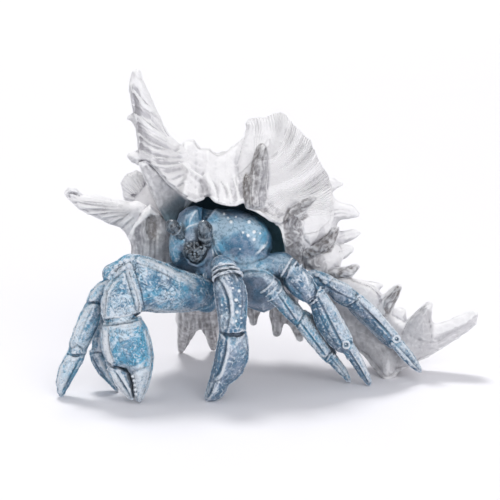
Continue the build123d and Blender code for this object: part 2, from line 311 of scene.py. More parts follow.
    # -- reading -----------------------------------------------------------------------------------
    def sample(self, P):
        q = np.clip((P - self.lo) / self.h, 0.0, self.n - 1.001)
        i = np.floor(q).astype(int)
        f = q - i
        out = 0.0
        for a in (0, 1):
            for b in (0, 1):
                for c in (0, 1):
                    w = (f[:, 0] if a else 1 - f[:, 0]) * (f[:, 1] if b else 1 - f[:, 1]) * (f[:, 2] if c else 1 - f[:, 2])
                    out = out + w * self.D[i[:, 0] + a, i[:, 1] + b, i[:, 2] + c]
        return out

    def mesh(self):
        """Surface nets: one vertex to a crossed cell, one quad to a crossed edge."""
        D = self.D
        S = D < 0
        n = [s - 1 for s in D.shape]
        total = np.zeros(n, np.int8)
        for a in (0, 1):
            for b in (0, 1):
                for c in (0, 1):
                    total += S[a:a + n[0], b:b + n[1], c:c + n[2]]
        live = (total > 0) & (total < 8)
        index = np.full(n, -1, np.int32)
        ci, cj, ck = np.nonzero(live)
        index[live] = np.arange(len(ci))
        pos, cnt = np.zeros((len(ci), 3)), np.zeros(len(ci))
        corners = [(a, b, c) for a in (0, 1) for b in (0, 1) for c in (0, 1)]
        for u in corners:
            for v in corners:
                if sum(abs(p - q) for p, q in zip(u, v)) != 1 or u > v:
                    continue
                du = D[ci + u[0], cj + u[1], ck + u[2]]
                dv = D[ci + v[0], cj + v[1], ck + v[2]]
                cross = (du < 0) != (dv < 0)
                t = np.where(cross, du / np.where(cross, du - dv, 1.0), 0.0)
                for k in range(3):
                    pos[:, k] += np.where(cross, u[k] + t * (v[k] - u[k]), 0.0)
                cnt += cross
        pos /= cnt[:, None]
        V = self.lo + (pos + np.stack([ci, cj, ck], 1)) * self.h
        quads = []
        for axis in range(3):
            u, v = (axis + 1) % 3, (axis + 2) % 3
            sl0 = [slice(None)] * 3
            sl1 = [slice(None)] * 3
            sl0[axis], sl1[axis] = slice(0, -1), slice(1, None)
            s0, s1 = S[tuple(sl0)], S[tuple(sl1)]
            cross = s0 != s1
            e = np.stack(np.nonzero(cross), 1)
            ok = (e[:, u] > 0) & (e[:, v] > 0) & (e[:, u] < n[u]) & (e[:, v] < n[v])
            e = e[ok]
            flip = s0[tuple(e.T)]
            ids = []
            for du, dv in ((-1, -1), (0, -1), (0, 0), (-1, 0)):
                cell = e.copy()
                cell[:, u] += du
                cell[:, v] += dv
                ids.append(index[tuple(cell.T)])
            q = np.stack(ids, 1)
            q[~flip] = q[~flip][:, ::-1]
            quads.append(q)
        F = np.concatenate(quads)
        return V, F


# ------------------------------------------------------------------------------------------------
# Mesh tools
# ------------------------------------------------------------------------------------------------
def keep_largest(V, F, share=0.5):
    """Drops specks that are not joined to the main surface."""
    n = len(V)
    label = np.arange(n)
    edges = np.concatenate([F[:, [0, 1]], F[:, [1, 2]], F[:, [2, 3]], F[:, [3, 0]]])
    while True:
        low = label.copy()
        m = np.minimum(label[edges[:, 0]], label[edges[:, 1]])
        np.minimum.at(low, edges[:, 0], m)
        np.minimum.at(low, edges[:, 1], m)
        low = low[low]
        if (low == label).all():
            break
        label = low
    ids, where, counts = np.unique(label, return_inverse=True, return_counts=True)
    keep = (counts > share * counts.max())[where]
    new = np.full(n, -1)
    new[keep] = np.arange(keep.sum())
    return V[keep], new[F[keep[F[:, 0]]]]


def normals(V, F):
    N = np.zeros_like(V)
    fn = np.cross(V[F[:, 2]] - V[F[:, 0]], V[F[:, 3]] - V[F[:, 1]])
    for k in range(4):
        for c in range(3):
            N[:, c] += np.bincount(F[:, k], fn[:, c], len(V))
    return N / np.maximum(np.linalg.norm(N, axis=1), 1e-12)[:, None]


class Ring:
    """Neighbour averages."""

    def __init__(self, n, F):
        e = np.concatenate([F[:, [0, 1]], F[:, [1, 2]], F[:, [2, 3]], F[:, [3, 0]]])
        e = np.unique(np.sort(e, 1), axis=0)
        self.a, self.b, self.n = e[:, 0], e[:, 1], n
        self.deg = np.maximum(np.bincount(self.a, minlength=n) + np.bincount(self.b, minlength=n), 1)

    def mean(self, x):
        if x.ndim == 1:
            return (np.bincount(self.a, x[self.b], self.n) + np.bincount(self.b, x[self.a], self.n)) / self.deg
        return np.stack([self.mean(x[:, c]) for c in range(x.shape[1])], 1)

    def relax(self, x, times, w=0.5):
        for _ in range(times):
            x = x + w * (self.mean(x) - x)
        return x


def settle(field, V, F, times=2):
    """Evens the mesh out and lays it back on the field's surface."""
    ring = Ring(len(V), F)
    for _ in range(times):
        V = ring.relax(V, 1, 0.6)
        N = normals(V, F)
        V = V - N * np.clip(field.sample(V), -0.5 * field.h, 0.5 * field.h)[:, None]
    return V, ring


def hollows(V, F, ring, times):
    """How far each vertex lies under (+) or above (-) its smoothed surroundings, in millimetres."""
    N = normals(V, F)
    S = ring.relax(V, times, 0.6)
    return ((S - V) * N).sum(1)


def shade(field, V, N, reach):
    """Share of the open distance that is missing in front of each vertex, 0 open to 1 closed."""
    out = 0.0
    for r in reach:
        out = out + np.clip(1.0 - field.sample(V + N * r) / r, 0.0, 1.0)
    return out / len(reach)


def draw(V, N, strokes, facing=0.05):
    """Lines cut or raised on the side that faces the viewer.  Each stroke: points in the view, half width
    (mm), depth (mm, minus raises), and 1 if it grows towards its end.  Gives back the move along the
    normal and masks of the cut and of the raised lines."""
    px, py = project(V[:, 0], V[:, 1], V[:, 2])
    front = smooth01((-N[:, 1] * CE + N[:, 2] * SE - facing) / 0.3)
    move, mask, light = np.zeros(len(V)), np.zeros(len(V)), np.zeros(len(V))
    for stroke in strokes:
        pts, width, deep = stroke[:3]
        q = np.asarray(pts, float)
        m = 3.0 * width / PX
        i = np.nonzero((px > q[:, 0].min() - m) & (px < q[:, 0].max() + m) & (py > q[:, 1].min() - m) & (py < q[:, 1].max() + m) & (front > 0.01))[0]
        if len(i) == 0:
            continue
        d, t = line_distance(px[i], py[i], pts)
        if len(stroke) > 3:
            run = smooth01(t * 1.6) * smooth01((1.04 - t) / 0.08)
        else:
            run = 0.35 + 0.65 * np.sin(np.pi * np.clip(t, 0.04, 0.96)) ** 0.5
        g = np.exp(-((d * PX / width) ** 2)) * front[i] * run
        move[i] = np.where(np.abs(deep * g) > np.abs(move[i]), -deep * g, move[i])
        if deep > 0:
            mask[i] = np.maximum(mask[i], g * min(1.0, deep / 0.45))
        else:
            light[i] = np.maximum(light[i], g)
    return move, mask, light


def make(name, node, V, F, material, attrs):
    me = bpy.data.meshes.new(name)
    W = (V + SHIFT) * 0.001
    me.vertices.add(len(W))
    me.vertices.foreach_set("co", W.astype(np.float32).ravel())
    me.loops.add(F.size)
    me.loops.foreach_set("vertex_index", F.astype(np.int32).ravel())
    me.polygons.add(len(F))
    me.polygons.foreach_set("loop_start", np.arange(0, F.size, 4, dtype=np.int32))
    me.polygons.foreach_set("use_smooth", np.ones(len(F), bool))
    me.update(calc_edges=True)
    me.validate()
    for key, val in attrs.items():
        val = np.asarray(val, np.float32)
        a = me.attributes.new(key, "FLOAT", "POINT")
        a.data.foreach_set("value", val.ravel())
    ob = bpy.data.objects.new(name, me)
    bpy.context.scene.collection.objects.link(ob)
    me.materials.append(material)
    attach(ob, "root")
    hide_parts(node)
    return ob


# ------------------------------------------------------------------------------------------------
# Materials
# ------------------------------------------------------------------------------------------------
class Tree:
    def __init__(self, name):
        self.m = bpy.data.materials.new(name)
        self.m.use_nodes = True
        self.t = self.m.node_tree
        self.t.nodes.clear()
        self.out = self.t.nodes.new("ShaderNodeOutputMaterial")
        self.bsdf = self.t.nodes.new("ShaderNodeBsdfPrincipled")
        self.t.links.new(self.bsdf.outputs[0], self.out.inputs[0])

    def put(self, socket, v):
        if isinstance(v, bpy.types.NodeSocket):
            self.t.links.new(v, socket)
        else:
            socket.default_value = v

    def attr(self, name):
        n = self.t.nodes.new("ShaderNodeAttribute")
        n.attribute_name = name
        return n.outputs["Fac"]

    def pos(self):
        return self.t.nodes.new("ShaderNodeTexCoord").outputs["Object"]

    def noise(self, scale, detail=4.0, rough=0.55, vec=None, distort=0.0):
        n = self.t.nodes.new("ShaderNodeTexNoise")
        self.put(n.inputs["Vector"], vec if vec is not None else self.pos())
        n.inputs["Scale"].default_value = scale
        n.inputs["Detail"].default_value = detail
        n.inputs["Roughness"].default_value = rough
        n.inputs["Distortion"].default_value = distort
        return n.outputs["Fac"]

    def moved(self, x, y, z):
        n = self.t.nodes.new("ShaderNodeVectorMath")
        n.operation = "ADD"
        self.put(n.inputs[0], self.pos())
        n.inputs[1].default_value = (x, y, z)
        return n.outputs[0]

    def math(self, op, a, b=0.0, clamp=False):
        n = self.t.nodes.new("ShaderNodeMath")
        n.operation = op
        n.use_clamp = clamp
        self.put(n.inputs[0], a)
        self.put(n.inputs[1], b)
        return n.outputs[0]

    def range(self, v, a, b, c=0.0, d=1.0):
        n = self.t.nodes.new("ShaderNodeMapRange")
        n.interpolation_type = "SMOOTHSTEP"
        self.put(n.inputs["Value"], v)
        n.inputs["From Min"].default_value = a
        n.inputs["From Max"].default_value = b
        n.inputs["To Min"].default_value = c
        n.inputs["To Max"].default_value = d
        return n.outputs["Result"]

    def mix(self, f, a, b, mode="MIX"):
        n = self.t.nodes.new("ShaderNodeMix")
        n.data_type = "RGBA"
        n.blend_type = mode
        self.put(n.inputs[0], f)
        self.put(n.inputs[6], a if isinstance(a, bpy.types.NodeSocket) else (*a, 1.0))
        self.put(n.inputs[7], b if isinstance(b, bpy.types.NodeSocket) else (*b, 1.0))
        return n.outputs[2]

    def bump(self, height, strength, distance):
        n = self.t.nodes.new("ShaderNodeBump")
        n.inputs["Strength"].default_value = strength
        n.inputs["Distance"].default_value = distance
        self.put(n.inputs["Height"], height)
        return n.outputs["Normal"]


def shell_material():
    t = Tree("shell_paint")
    white, lilac, grey = (0.865, 0.858, 0.866), (0.46, 0.455, 0.50), (0.27, 0.26, 0.275)
    brown, night, teal = (0.17, 0.15, 0.13), (0.035, 0.070, 0.095), (0.20, 0.40, 0.48)
    big, fine = t.noise(55.0, 5.0), t.noise(520.0, 6.0, 0.7)
    streak = t.noise(900.0, 3.0, 0.6)
    ao, cav, wash, inside, aperture_shade, dim, line = (t.attr(k) for k in ("ao", "cav", "wash", "inside", "aperture_shade", "dim", "line"))
    fold, grow = t.attr("fold"), t.attr("grow")
    growth_line = t.math("SINE", t.attr("flow"))
    # Lilac where the occlusion (ao) closes in and in broad hollows (fold): partly the casting's wash, partly painted
    # shade.
    f = t.math("MULTIPLY", t.range(ao, 0.34, 0.98, 0.0, 0.80), t.range(big, 0.3, 0.75, 0.6, 1.0))
    col = t.mix(f, white, lilac)
    col = t.mix(t.math("MULTIPLY", t.range(fold, 0.05, 0.75, 0.0, 0.62), t.range(big, 0.3, 0.7, 0.65, 1.0)), col, lilac)
    # dim darkens to grey: mostly painted shade (faces turned down, the back, the inner lip, the dim tables), over the
    # prongs' grey wash.
    col = t.mix(t.math("MULTIPLY", dim, t.range(fine, 0.25, 0.7, 0.75, 1.0)), col, (0.245, 0.242, 0.268))
    # Grey in creases (cav) and cut lines: partly wash, partly painted shade.
    col = t.mix(t.math("MULTIPLY", t.math("MAXIMUM", t.range(cav, 0.04, 0.34), t.math("MULTIPLY", line, 0.15)), t.range(dim, 0.0, 0.6, 0.36, 0.62)), col, grey)
    col = t.mix(t.math("MULTIPLY", t.range(growth_line, -0.15, -0.95), t.math("MULTIPLY", grow, 0.20)), col, (0.44, 0.435, 0.49))
    col = t.mix(t.math("MULTIPLY", wash, t.range(fine, 0.36, 0.60, 0.35, 1.0)), col, brown)
    col = t.mix(t.math("MULTIPLY", t.range(streak, 0.58, 0.72), 0.12), col, grey)
    col = t.mix(t.math("MULTIPLY", t.range(cav, -0.04, -0.24, 0.0, 0.75), t.range(dim, 0.0, 0.8, 1.0, 0.35)), col, (0.88, 0.88, 0.88))
    # Inside the aperture: dark teal, going to near black deeper in and higher up under the lip, which is painted shade.
    col = t.mix(inside, col, t.mix(aperture_shade, teal, night))
    t.put(t.bsdf.inputs["Base Color"], col)
    t.put(t.bsdf.inputs["Roughness"], t.range(fine, 0.2, 0.8, 0.66, 0.86))
    t.bsdf.inputs["Specular IOR Level"].default_value = 0.25
    h = t.math("ADD", t.math("MULTIPLY", growth_line, t.range(grow, 0.0, 1.0, 0.35, 2.3)), t.math("MULTIPLY", fine, 1.3))
    h = t.math("ADD", h, t.math("MULTIPLY", t.noise(190.0, 4.0, 0.6), 1.3))
    t.put(t.bsdf.inputs["Normal"], t.bump(h, 0.65, 0.0006))
    return t.m


def crab_material():
    t = Tree("crab_paint")
    deep, blue, pale = (0.034, 0.175, 0.315), (0.088, 0.400, 0.610), (0.64, 0.77, 0.87)
    white, ink_and_shade, lilac = (0.82, 0.86, 0.90), (0.018, 0.030, 0.050), (0.34, 0.39, 0.50)
    ao, cav, tone, crust, brow = t.attr("ao"), t.attr("cav"), t.attr("tone"), t.attr("crust"), t.attr("brow")
    line, light, calm, dots, slate = t.attr("line"), t.attr("light"), t.attr("smooth"), t.attr("dots"), t.attr("slate")
    rough = t.range(calm, 0.0, 1.0, 1.0, 0.12)
    blotch = t.noise(98.0, 4.5, 0.58, distort=1.7)
    speck, cloud, grain = t.noise(480.0, 5.0, 0.72, distort=0.6), t.noise(62.0, 3.0, 0.5), t.noise(1000.0, 4.0, 0.75)
    low = t.noise(66.0, 3.0, 0.55, vec=t.moved(0.31, 0.17, 0.53), distort=0.8)

    def threads(scale, wide, thin, vec=None):
        n = t.noise(scale, 2.5, 0.5, vec=vec, distort=1.7)
        return t.range(t.math("ABSOLUTE", t.math("SUBTRACT", n, 0.5)), wide, thin)

    # Painted light through tone: faces turned up are bluer and paler, faces turned down deeper blue and more lilac, the
    # dark faces deeper still; the clouds are random.
    col = t.mix(t.range(t.math("ADD", cloud, t.math("MULTIPLY", tone, 0.13)), 0.38, 0.62), deep, blue)
    col = t.mix(t.math("MULTIPLY", slate, t.range(low, 0.36, 0.60, 0.35, 1.0)), col, (0.175, 0.235, 0.325))
    col = t.mix(t.math("MULTIPLY", t.range(t.noise(95.0, 4.0, 0.6), 0.46, 0.62), t.range(tone, -0.6, 0.5, 0.65, 0.22)), col, lilac)
    # where the pale brushing lies thicker
    where = t.range(t.math("ADD", low, t.math("ADD", t.math("MULTIPLY", tone, 0.09), t.math("SUBTRACT", t.math("MULTIPLY", light, 0.12), t.math("MULTIPLY", brow, 0.05)))), 0.44, 0.62)
    strands = t.math("MAXIMUM", t.math("MULTIPLY", threads(70.0, 0.075, 0.012), 0.85), t.math("MULTIPLY", threads(150.0, 0.085, 0.02, t.moved(0.7, 0.2, 0.4)), 0.40))
    strands = t.math("MULTIPLY", strands, t.range(where, 0.0, 1.0, 0.08, 1.0))
    patch = t.math("MULTIPLY", t.math("MULTIPLY", t.range(t.math("ADD", blotch, t.math("MULTIPLY", crust, 0.08)), 0.535, 0.605), where), t.range(speck, 0.36, 0.52, 0.62, 1.0))
    dust = t.math("MULTIPLY", t.math("MULTIPLY", t.range(speck, 0.60, 0.68), 0.32), t.range(where, 0.0, 1.0, 0.35, 1.0))
    dry = t.math("MULTIPLY", t.math("MAXIMUM", t.math("MAXIMUM", strands, patch), dust), rough)
    col = t.mix(dry, col, pale)
    # dark scratches between
    dark = t.math("MULTIPLY", threads(170.0, 0.050, 0.010, t.moved(0.15, 0.83, 0.29)), t.range(where, 0.0, 1.0, 0.52, 0.55))
    col = t.mix(t.math("MULTIPLY", dark, rough), col, (0.028, 0.075, 0.125))
    # paler along the edges of each joint
    rim = t.math("MULTIPLY", t.range(t.math("SUBTRACT", t.math("MULTIPLY", t.math("SUBTRACT", blotch, 0.5), 1.6), brow), 0.22, 0.85), t.range(calm, 0.0, 1.0, 0.60, 0.06))
    col = t.mix(t.math("MULTIPLY", rim, t.range(speck, 0.34, 0.50, 0.3, 1.0)), col, (0.62, 0.68, 0.77))
    # smooth parts: cloudy pale bloom over the blue, thicker where the tone is high, so partly painted light on faces
    # turned up and on the dome's lighter patches
    bloom = t.math("MULTIPLY", t.range(t.math("ADD", t.noise(95.0, 5.0, 0.62, distort=0.9), t.math("MULTIPLY", tone, 0.17)), 0.40, 0.70), calm)
    col = t.mix(t.math("MULTIPLY", bloom, 0.72), col, (0.50, 0.63, 0.73))
    col = t.mix(t.math("MULTIPLY", t.math("MULTIPLY", t.range(speck, 0.52, 0.38), calm), 0.60), col, (0.045, 0.125, 0.205))
    col = t.mix(t.math("MULTIPLY", t.math("MULTIPLY", t.range(grain, 0.57, 0.68), calm), 0.62), col, (0.62, 0.70, 0.78))
    edge = t.math("MULTIPLY", t.range(cav, -0.03, -0.17), t.range(speck, 0.35, 0.56, 0.35, 1.0))
    brushed = t.math("MULTIPLY", light, t.range(t.math("ADD", speck, t.math("MULTIPLY", light, 0.12)), 0.44, 0.58, 0.12, 1.0))
    col = t.mix(t.math("MAXIMUM", t.math("MULTIPLY", edge, 0.70), t.math("MULTIPLY", brushed, 0.90)), col, white)
    # Near ink where the occlusion (ao) closes in: partly painted shade, partly the wash in the joints.
    col = t.mix(t.math("MULTIPLY", t.range(ao, 0.35, 0.92), 0.72), col, ink_and_shade)
    # Dark in creases (cav) and along line: the cut lines, dark joints and wash in the creases, and painted shade from
    # the turning outlines and the dark faces.
    creases_and_shade = t.math("MAXIMUM", t.math("MULTIPLY", t.range(cav, 0.03, 0.16), 0.80), t.math("MULTIPLY", line, 0.88))
    col = t.mix(t.math("MULTIPLY", creases_and_shade, t.range(speck, 0.30, 0.62, 1.0, 0.55)), col, ink_and_shade)
    col = t.mix(dots, col, (0.88, 0.92, 0.95))
    t.put(t.bsdf.inputs["Base Color"], col)
    t.put(t.bsdf.inputs["Roughness"], t.range(grain, 0.25, 0.75, 0.34, 0.54))
    t.bsdf.inputs["Specular IOR Level"].default_value = 0.5
    h = t.math("ADD", t.math("MULTIPLY", blotch, 1.0), t.math("MULTIPLY", speck, 1.0))
    h = t.math("ADD", t.math("ADD", h, t.math("MULTIPLY", grain, 0.4)), t.math("MULTIPLY", t.math("SUBTRACT", strands, dark), 0.35))
    t.put(t.bsdf.inputs["Normal"], t.bump(t.math("MULTIPLY", h, t.range(calm, 0.0, 1.0, 1.0, 0.55)), 0.8, 0.0008))
    return t.m


def eye_material():
    t = Tree("eye_paint")
    ao, cav, light = t.attr("ao"), t.attr("cav"), t.attr("light")
    grain, cloud = t.noise(600.0, 5.0, 0.7), t.noise(240.0, 4.0)
    col = t.mix(t.range(cloud, 0.40, 0.62), (0.016, 0.024, 0.034), (0.095, 0.130, 0.165))
    col = t.mix(t.math("MULTIPLY", t.range(grain, 0.54, 0.64), 0.42), col, (0.30, 0.37, 0.43))
    # Pale on ridges and on the WHITES marks: the stalks' rings and painted highlights on the eyes.
    col = t.mix(t.math("MAXIMUM", t.range(cav, -0.05, -0.22, 0.0, 0.42), t.math("MULTIPLY", light, 0.8)), col, (0.42, 0.50, 0.58))
    # Painted shade: near black where the occlusion (ao) closes in.
    col = t.mix(t.math("MULTIPLY", t.range(ao, 0.3, 0.8), 0.85), col, (0.008, 0.009, 0.012))
    t.put(t.bsdf.inputs["Base Color"], col)
    t.put(t.bsdf.inputs["Roughness"], t.range(grain, 0.2, 0.8, 0.16, 0.34))
    t.bsdf.inputs["Specular IOR Level"].default_value = 0.7
    t.put(t.bsdf.inputs["Normal"], t.bump(grain, 0.3, 0.0003))
    return t.m


def steel_material():
    t = Tree("dowel_steel")
    g = t.noise(900.0, 3.0)
    t.put(t.bsdf.inputs["Base Color"], t.mix(t.range(g, 0.3, 0.7), (0.45, 0.45, 0.46), (0.62, 0.62, 0.63)))
    t.bsdf.inputs["Metallic"].default_value = 1.0
    t.put(t.bsdf.inputs["Roughness"], t.range(g, 0.2, 0.8, 0.28, 0.45))
    return t.m


# ------------------------------------------------------------------------------------------------
# Camera, floor and light
# ------------------------------------------------------------------------------------------------
scene = bpy.context.scene
cam_data = bpy.data.cameras.new("camera")
cam_data.lens, cam_data.sensor_width = 120.0, 36.0
cam_data.clip_end = 200.0
cam = bpy.data.objects.new("camera", cam_data)
scene.collection.objects.link(cam)
cam.location = ((SHIFT[0]) * 0.001, (SHIFT[1] - DIST * CE) * 0.001, (AIM_Z + DIST * SE) * 0.001)
cam.rotation_euler = (math.radians(80.0), 0.0, 0.0)
scene.camera = cam

floor_me = bpy.data.meshes.new("floor")
floor_me.from_pydata([(-40, -40, 0), (40, -40, 0), (40, 40, 0), (-40, 40, 0)], [], [(0, 1, 2, 3)])
floor = bpy.data.objects.new("floor", floor_me)
scene.collection.objects.link(floor)
ft = Tree("floor")
ft.put(ft.bsdf.inputs["Base Color"], ft.mix(ft.noise(3.0, 2.0), (0.862, 0.856, 0.886), (0.872, 0.866, 0.896)))
ft.bsdf.inputs["Roughness"].default_value = 0.55
ft.bsdf.inputs["Specular IOR Level"].default_value = 0.25
floor_me.materials.append(ft.m)

rim_pts = [(12.0 * math.cos(a), 12.0 * math.sin(a)) for a in np.linspace(0.0, 2.0 * math.pi, 97)[:-1]]
wall_me = bpy.data.meshes.new("backdrop")
wall_me.from_pydata([(x, y, z) for z in (-0.01, 1.8) for x, y in rim_pts], [], [(i, 96 + i, 96 + (i + 1) % 96, (i + 1) % 96) for i in range(96)])
wall = bpy.data.objects.new("backdrop", wall_me)
scene.collection.objects.link(wall)
wall.visible_shadow = False
wt = Tree("backdrop")
wt.bsdf.inputs["Base Color"].default_value = (0.0, 0.0, 0.0, 1.0)
wt.bsdf.inputs["Specular IOR Level"].default_value = 0.0
wt.bsdf.inputs["Emission Color"].default_value = (1.0, 0.998, 1.0, 1.0)
wt.bsdf.inputs["Emission Strength"].default_value = 1.0
wall_me.materials.append(wt.m)

world = bpy.data.worlds.new("world")
scene.world = world
world.use_nodes = True
bg = world.node_tree.nodes["Background"]
bg.inputs[0].default_value = (0.955, 0.955, 1.0, 1.0)
bg.inputs[1].default_value = 0.475


def sun(name, heading, height, strength, softness, colour=(1, 1, 1)):
    """heading: degrees round Z that the light comes from (0 = from +X, 90 = from behind); height: degrees."""
    d = bpy.data.lights.new(name, "SUN")
    d.energy, d.angle, d.color = strength, math.radians(softness), colour
    o = bpy.data.objects.new(name, d)
    scene.collection.objects.link(o)
    o.rotation_euler = (math.radians(90.0 - height), 0.0, math.radians(heading + 90.0))
    return o


sun("key", 101.0, 61.0, 1.72, 15.0, (1.0, 0.995, 0.985))
sun("top", -80.0, 74.0, 0.25, 70.0)
sun("front", -72.0, 29.0, 1.16, 40.0, (0.99, 0.99, 1.0))
scene.view_settings.view_transform = "Standard"
scene.view_settings.look = "None"

shell_mat, crab_mat, eye_mat, steel_mat = shell_material(), crab_material(), eye_material(), steel_material()
for o in bpy.context.scene.objects:
    if o.type == "MESH" and "steel_dowels" in o.name:
        o.data.materials.clear()
        o.data.materials.append(steel_mat)


def P(px, py, Y, r):
    return (*place(px, py, Y), r)


def Q(px, py, Y, w):
    """Point with a half width in view pixels."""
    return (*place(px, py, Y), w * PX)


def oval(px, py, a, b, turn=0.0, n=18):
    t = np.linspace(0, 2 * math.pi, n + 1)[:-1]
    c, s = math.cos(math.radians(turn)), math.sin(math.radians(turn))
    return [(px + a * math.cos(u) * c - b * math.sin(u) * s, py + a * math.cos(u) * s + b * math.sin(u) * c) for u in t]


PIECES = []                            # (name, node, field, finishing function)
ALL = Field((-118, -52, -4), (150, 122, 202), 1.5)


def stamp(f):
    """Adds a piece's field to the coarse field of the whole, which the paint's shading reads."""
    box, X, Y, Z = ALL.part(f.lo, f.lo + f.h * (f.n - 1), 0.0)
    g = np.stack([a.ravel() for a in np.broadcast_arrays(X, Y, Z)], 1)
    inside = ((g >= f.lo) & (g <= f.lo + f.h * (f.n - 1))).all(1)
    d = np.full(len(g), 40.0, np.float32)
    d[inside] = f.sample(g[inside])
    ALL.join(box, d.reshape(ALL.D[box].shape), 0.0)


# ================================================================================================
# SHELL
# ================================================================================================
BODY = np.array([7.6, 52.0, 94.0])
AXIS_FROM, AXIS_TO = np.array([142.0, 40.0, 33.0]), np.array([-66.0, 67.0, 129.0])
RIM = np.array([(128, 158), (138, 160), (149, 163), (158, 173), (168, 184.5), (179, 193), (188, 199), (196, 202), (203, 199), (207.6, 196.4), (212, 199), (216, 202), (226, 205), (235.6, 205),
                (241, 202.5), (245.4, 200.6), (251, 207), (258, 211.5), (266, 216), (272, 220), (279, 221.5), (285, 219), (289, 216), (293, 209)])


def lip_depth(px, py):
    """Depth of the upper lip's sheet: scalloped along its lower rim, leaning back above it, upright in the tall spine."""
    above = np.interp(px, RIM[:, 0], RIM[:, 1]) - py
    base = np.interp(px, (126, 138, 150, 165, 185, 205, 228, 250, 270, 293), (13.5, 12.5, 10, 6, 3, 2, 1, 4, 5, 9))
    lean = np.interp(px, (126, 142, 152, 165, 180, 200, 230, 260), (0.0, 0.03, 0.10, 0.28, 0.44, 0.50, 0.52, 0.52))
    wave = np.interp(px, (146, 158, 170, 182, 194, 203, 212, 220, 229, 239, 246, 254, 262, 272, 282, 293), (0, 0.8, -0.8, -2.6, -1.2, 4.6, 0.4, -2.2, -3.2, -0.8, 1.4, 0.2, -0.8, -2.0, -0.8, 1))
    curl = np.clip(above, 0.0, 60.0)
    return base + lean * curl + wave * np.exp(-curl / 22.0) - 1.6 * np.exp(-((curl - 2.0) / 5.0) ** 2) + 4.0


def lip_sheet(px, py):
    return lip_depth(px, py) + 0.10 * np.clip(187.0 - px, 0.0, 40.0)


def spine_sheet(px, py):
    return lip_depth(px, py) + 0.10 * np.clip(px - 187.0, 0.0, 40.0)


LIP = [(169, 150), (174, 146.5), (181, 146.5), (183, 142), (186, 140), (194, 139), (198, 145), (200.5, 148), (210, 148), (214, 152), (218, 155), (225, 152), (239, 141), (246, 135), (256, 135), (268, 150), (280, 175), (292, 200),
       (293, 209), (289, 216), (285, 219), (279, 221.5), (272, 220), (266, 216), (258, 211.5), (251, 207.5), (245.4, 200.6), (241, 202.5), (235.6, 205), (226, 205), (216, 202), (212, 199.5), (207.6, 196.4),
       (203, 199), (196, 202), (188, 199), (179, 193), (172, 186), (167, 170)]
FAN = [(246, 128), (245.5, 123), (249, 118.5), (256, 117.5), (265, 117), (274, 114), (280, 113), (286, 115.5), (293.5, 125), (301, 131.5),
       (310, 140.5), (312, 147), (317.5, 158.5), (323.5, 168), (328, 175), (329.5, 190), (332, 205), (328, 220), (318, 230), (300, 235), (280, 225), (262, 210), (246, 200),
       (238, 185), (236, 165), (241, 145)]
CANAL = [(300, 262), (322, 258), (338, 268), (350, 276.5), (358, 280.5), (366, 283), (373, 286), (379, 293), (383, 302), (391, 312), (400, 317), (408, 323), (420, 331), (432, 330), (442, 324.4), (458, 319.6),
         (469, 314.3), (473, 312.8), (476.3, 315), (477, 324), (466, 333), (450, 344), (434, 353.5), (424, 358.5), (408.4, 367.6), (397, 370), (393.5, 375.3), (388.5, 377.5), (384, 377.3), (378, 369),
         (367, 356.5), (350, 345), (334, 334), (318, 318), (302, 298)]


PRONG_1 = [(246, 209), (243, 196), (242.6, 184), (244, 175), (246, 172.6), (249.4, 176), (251, 166), (253, 155), (256, 147), (259.4, 143), (264, 142.6), (267.6, 147), (269, 155), (268.4, 170), (267, 188),
           (269.5, 200), (270, 208), (264, 212), (256, 211)]


OPENING = [(256, 214.6), (264, 218.6), (271, 222.6), (279, 224.6), (282.6, 231), (284.6, 241), (285, 251), (281, 258), (268, 252), (258, 240)]


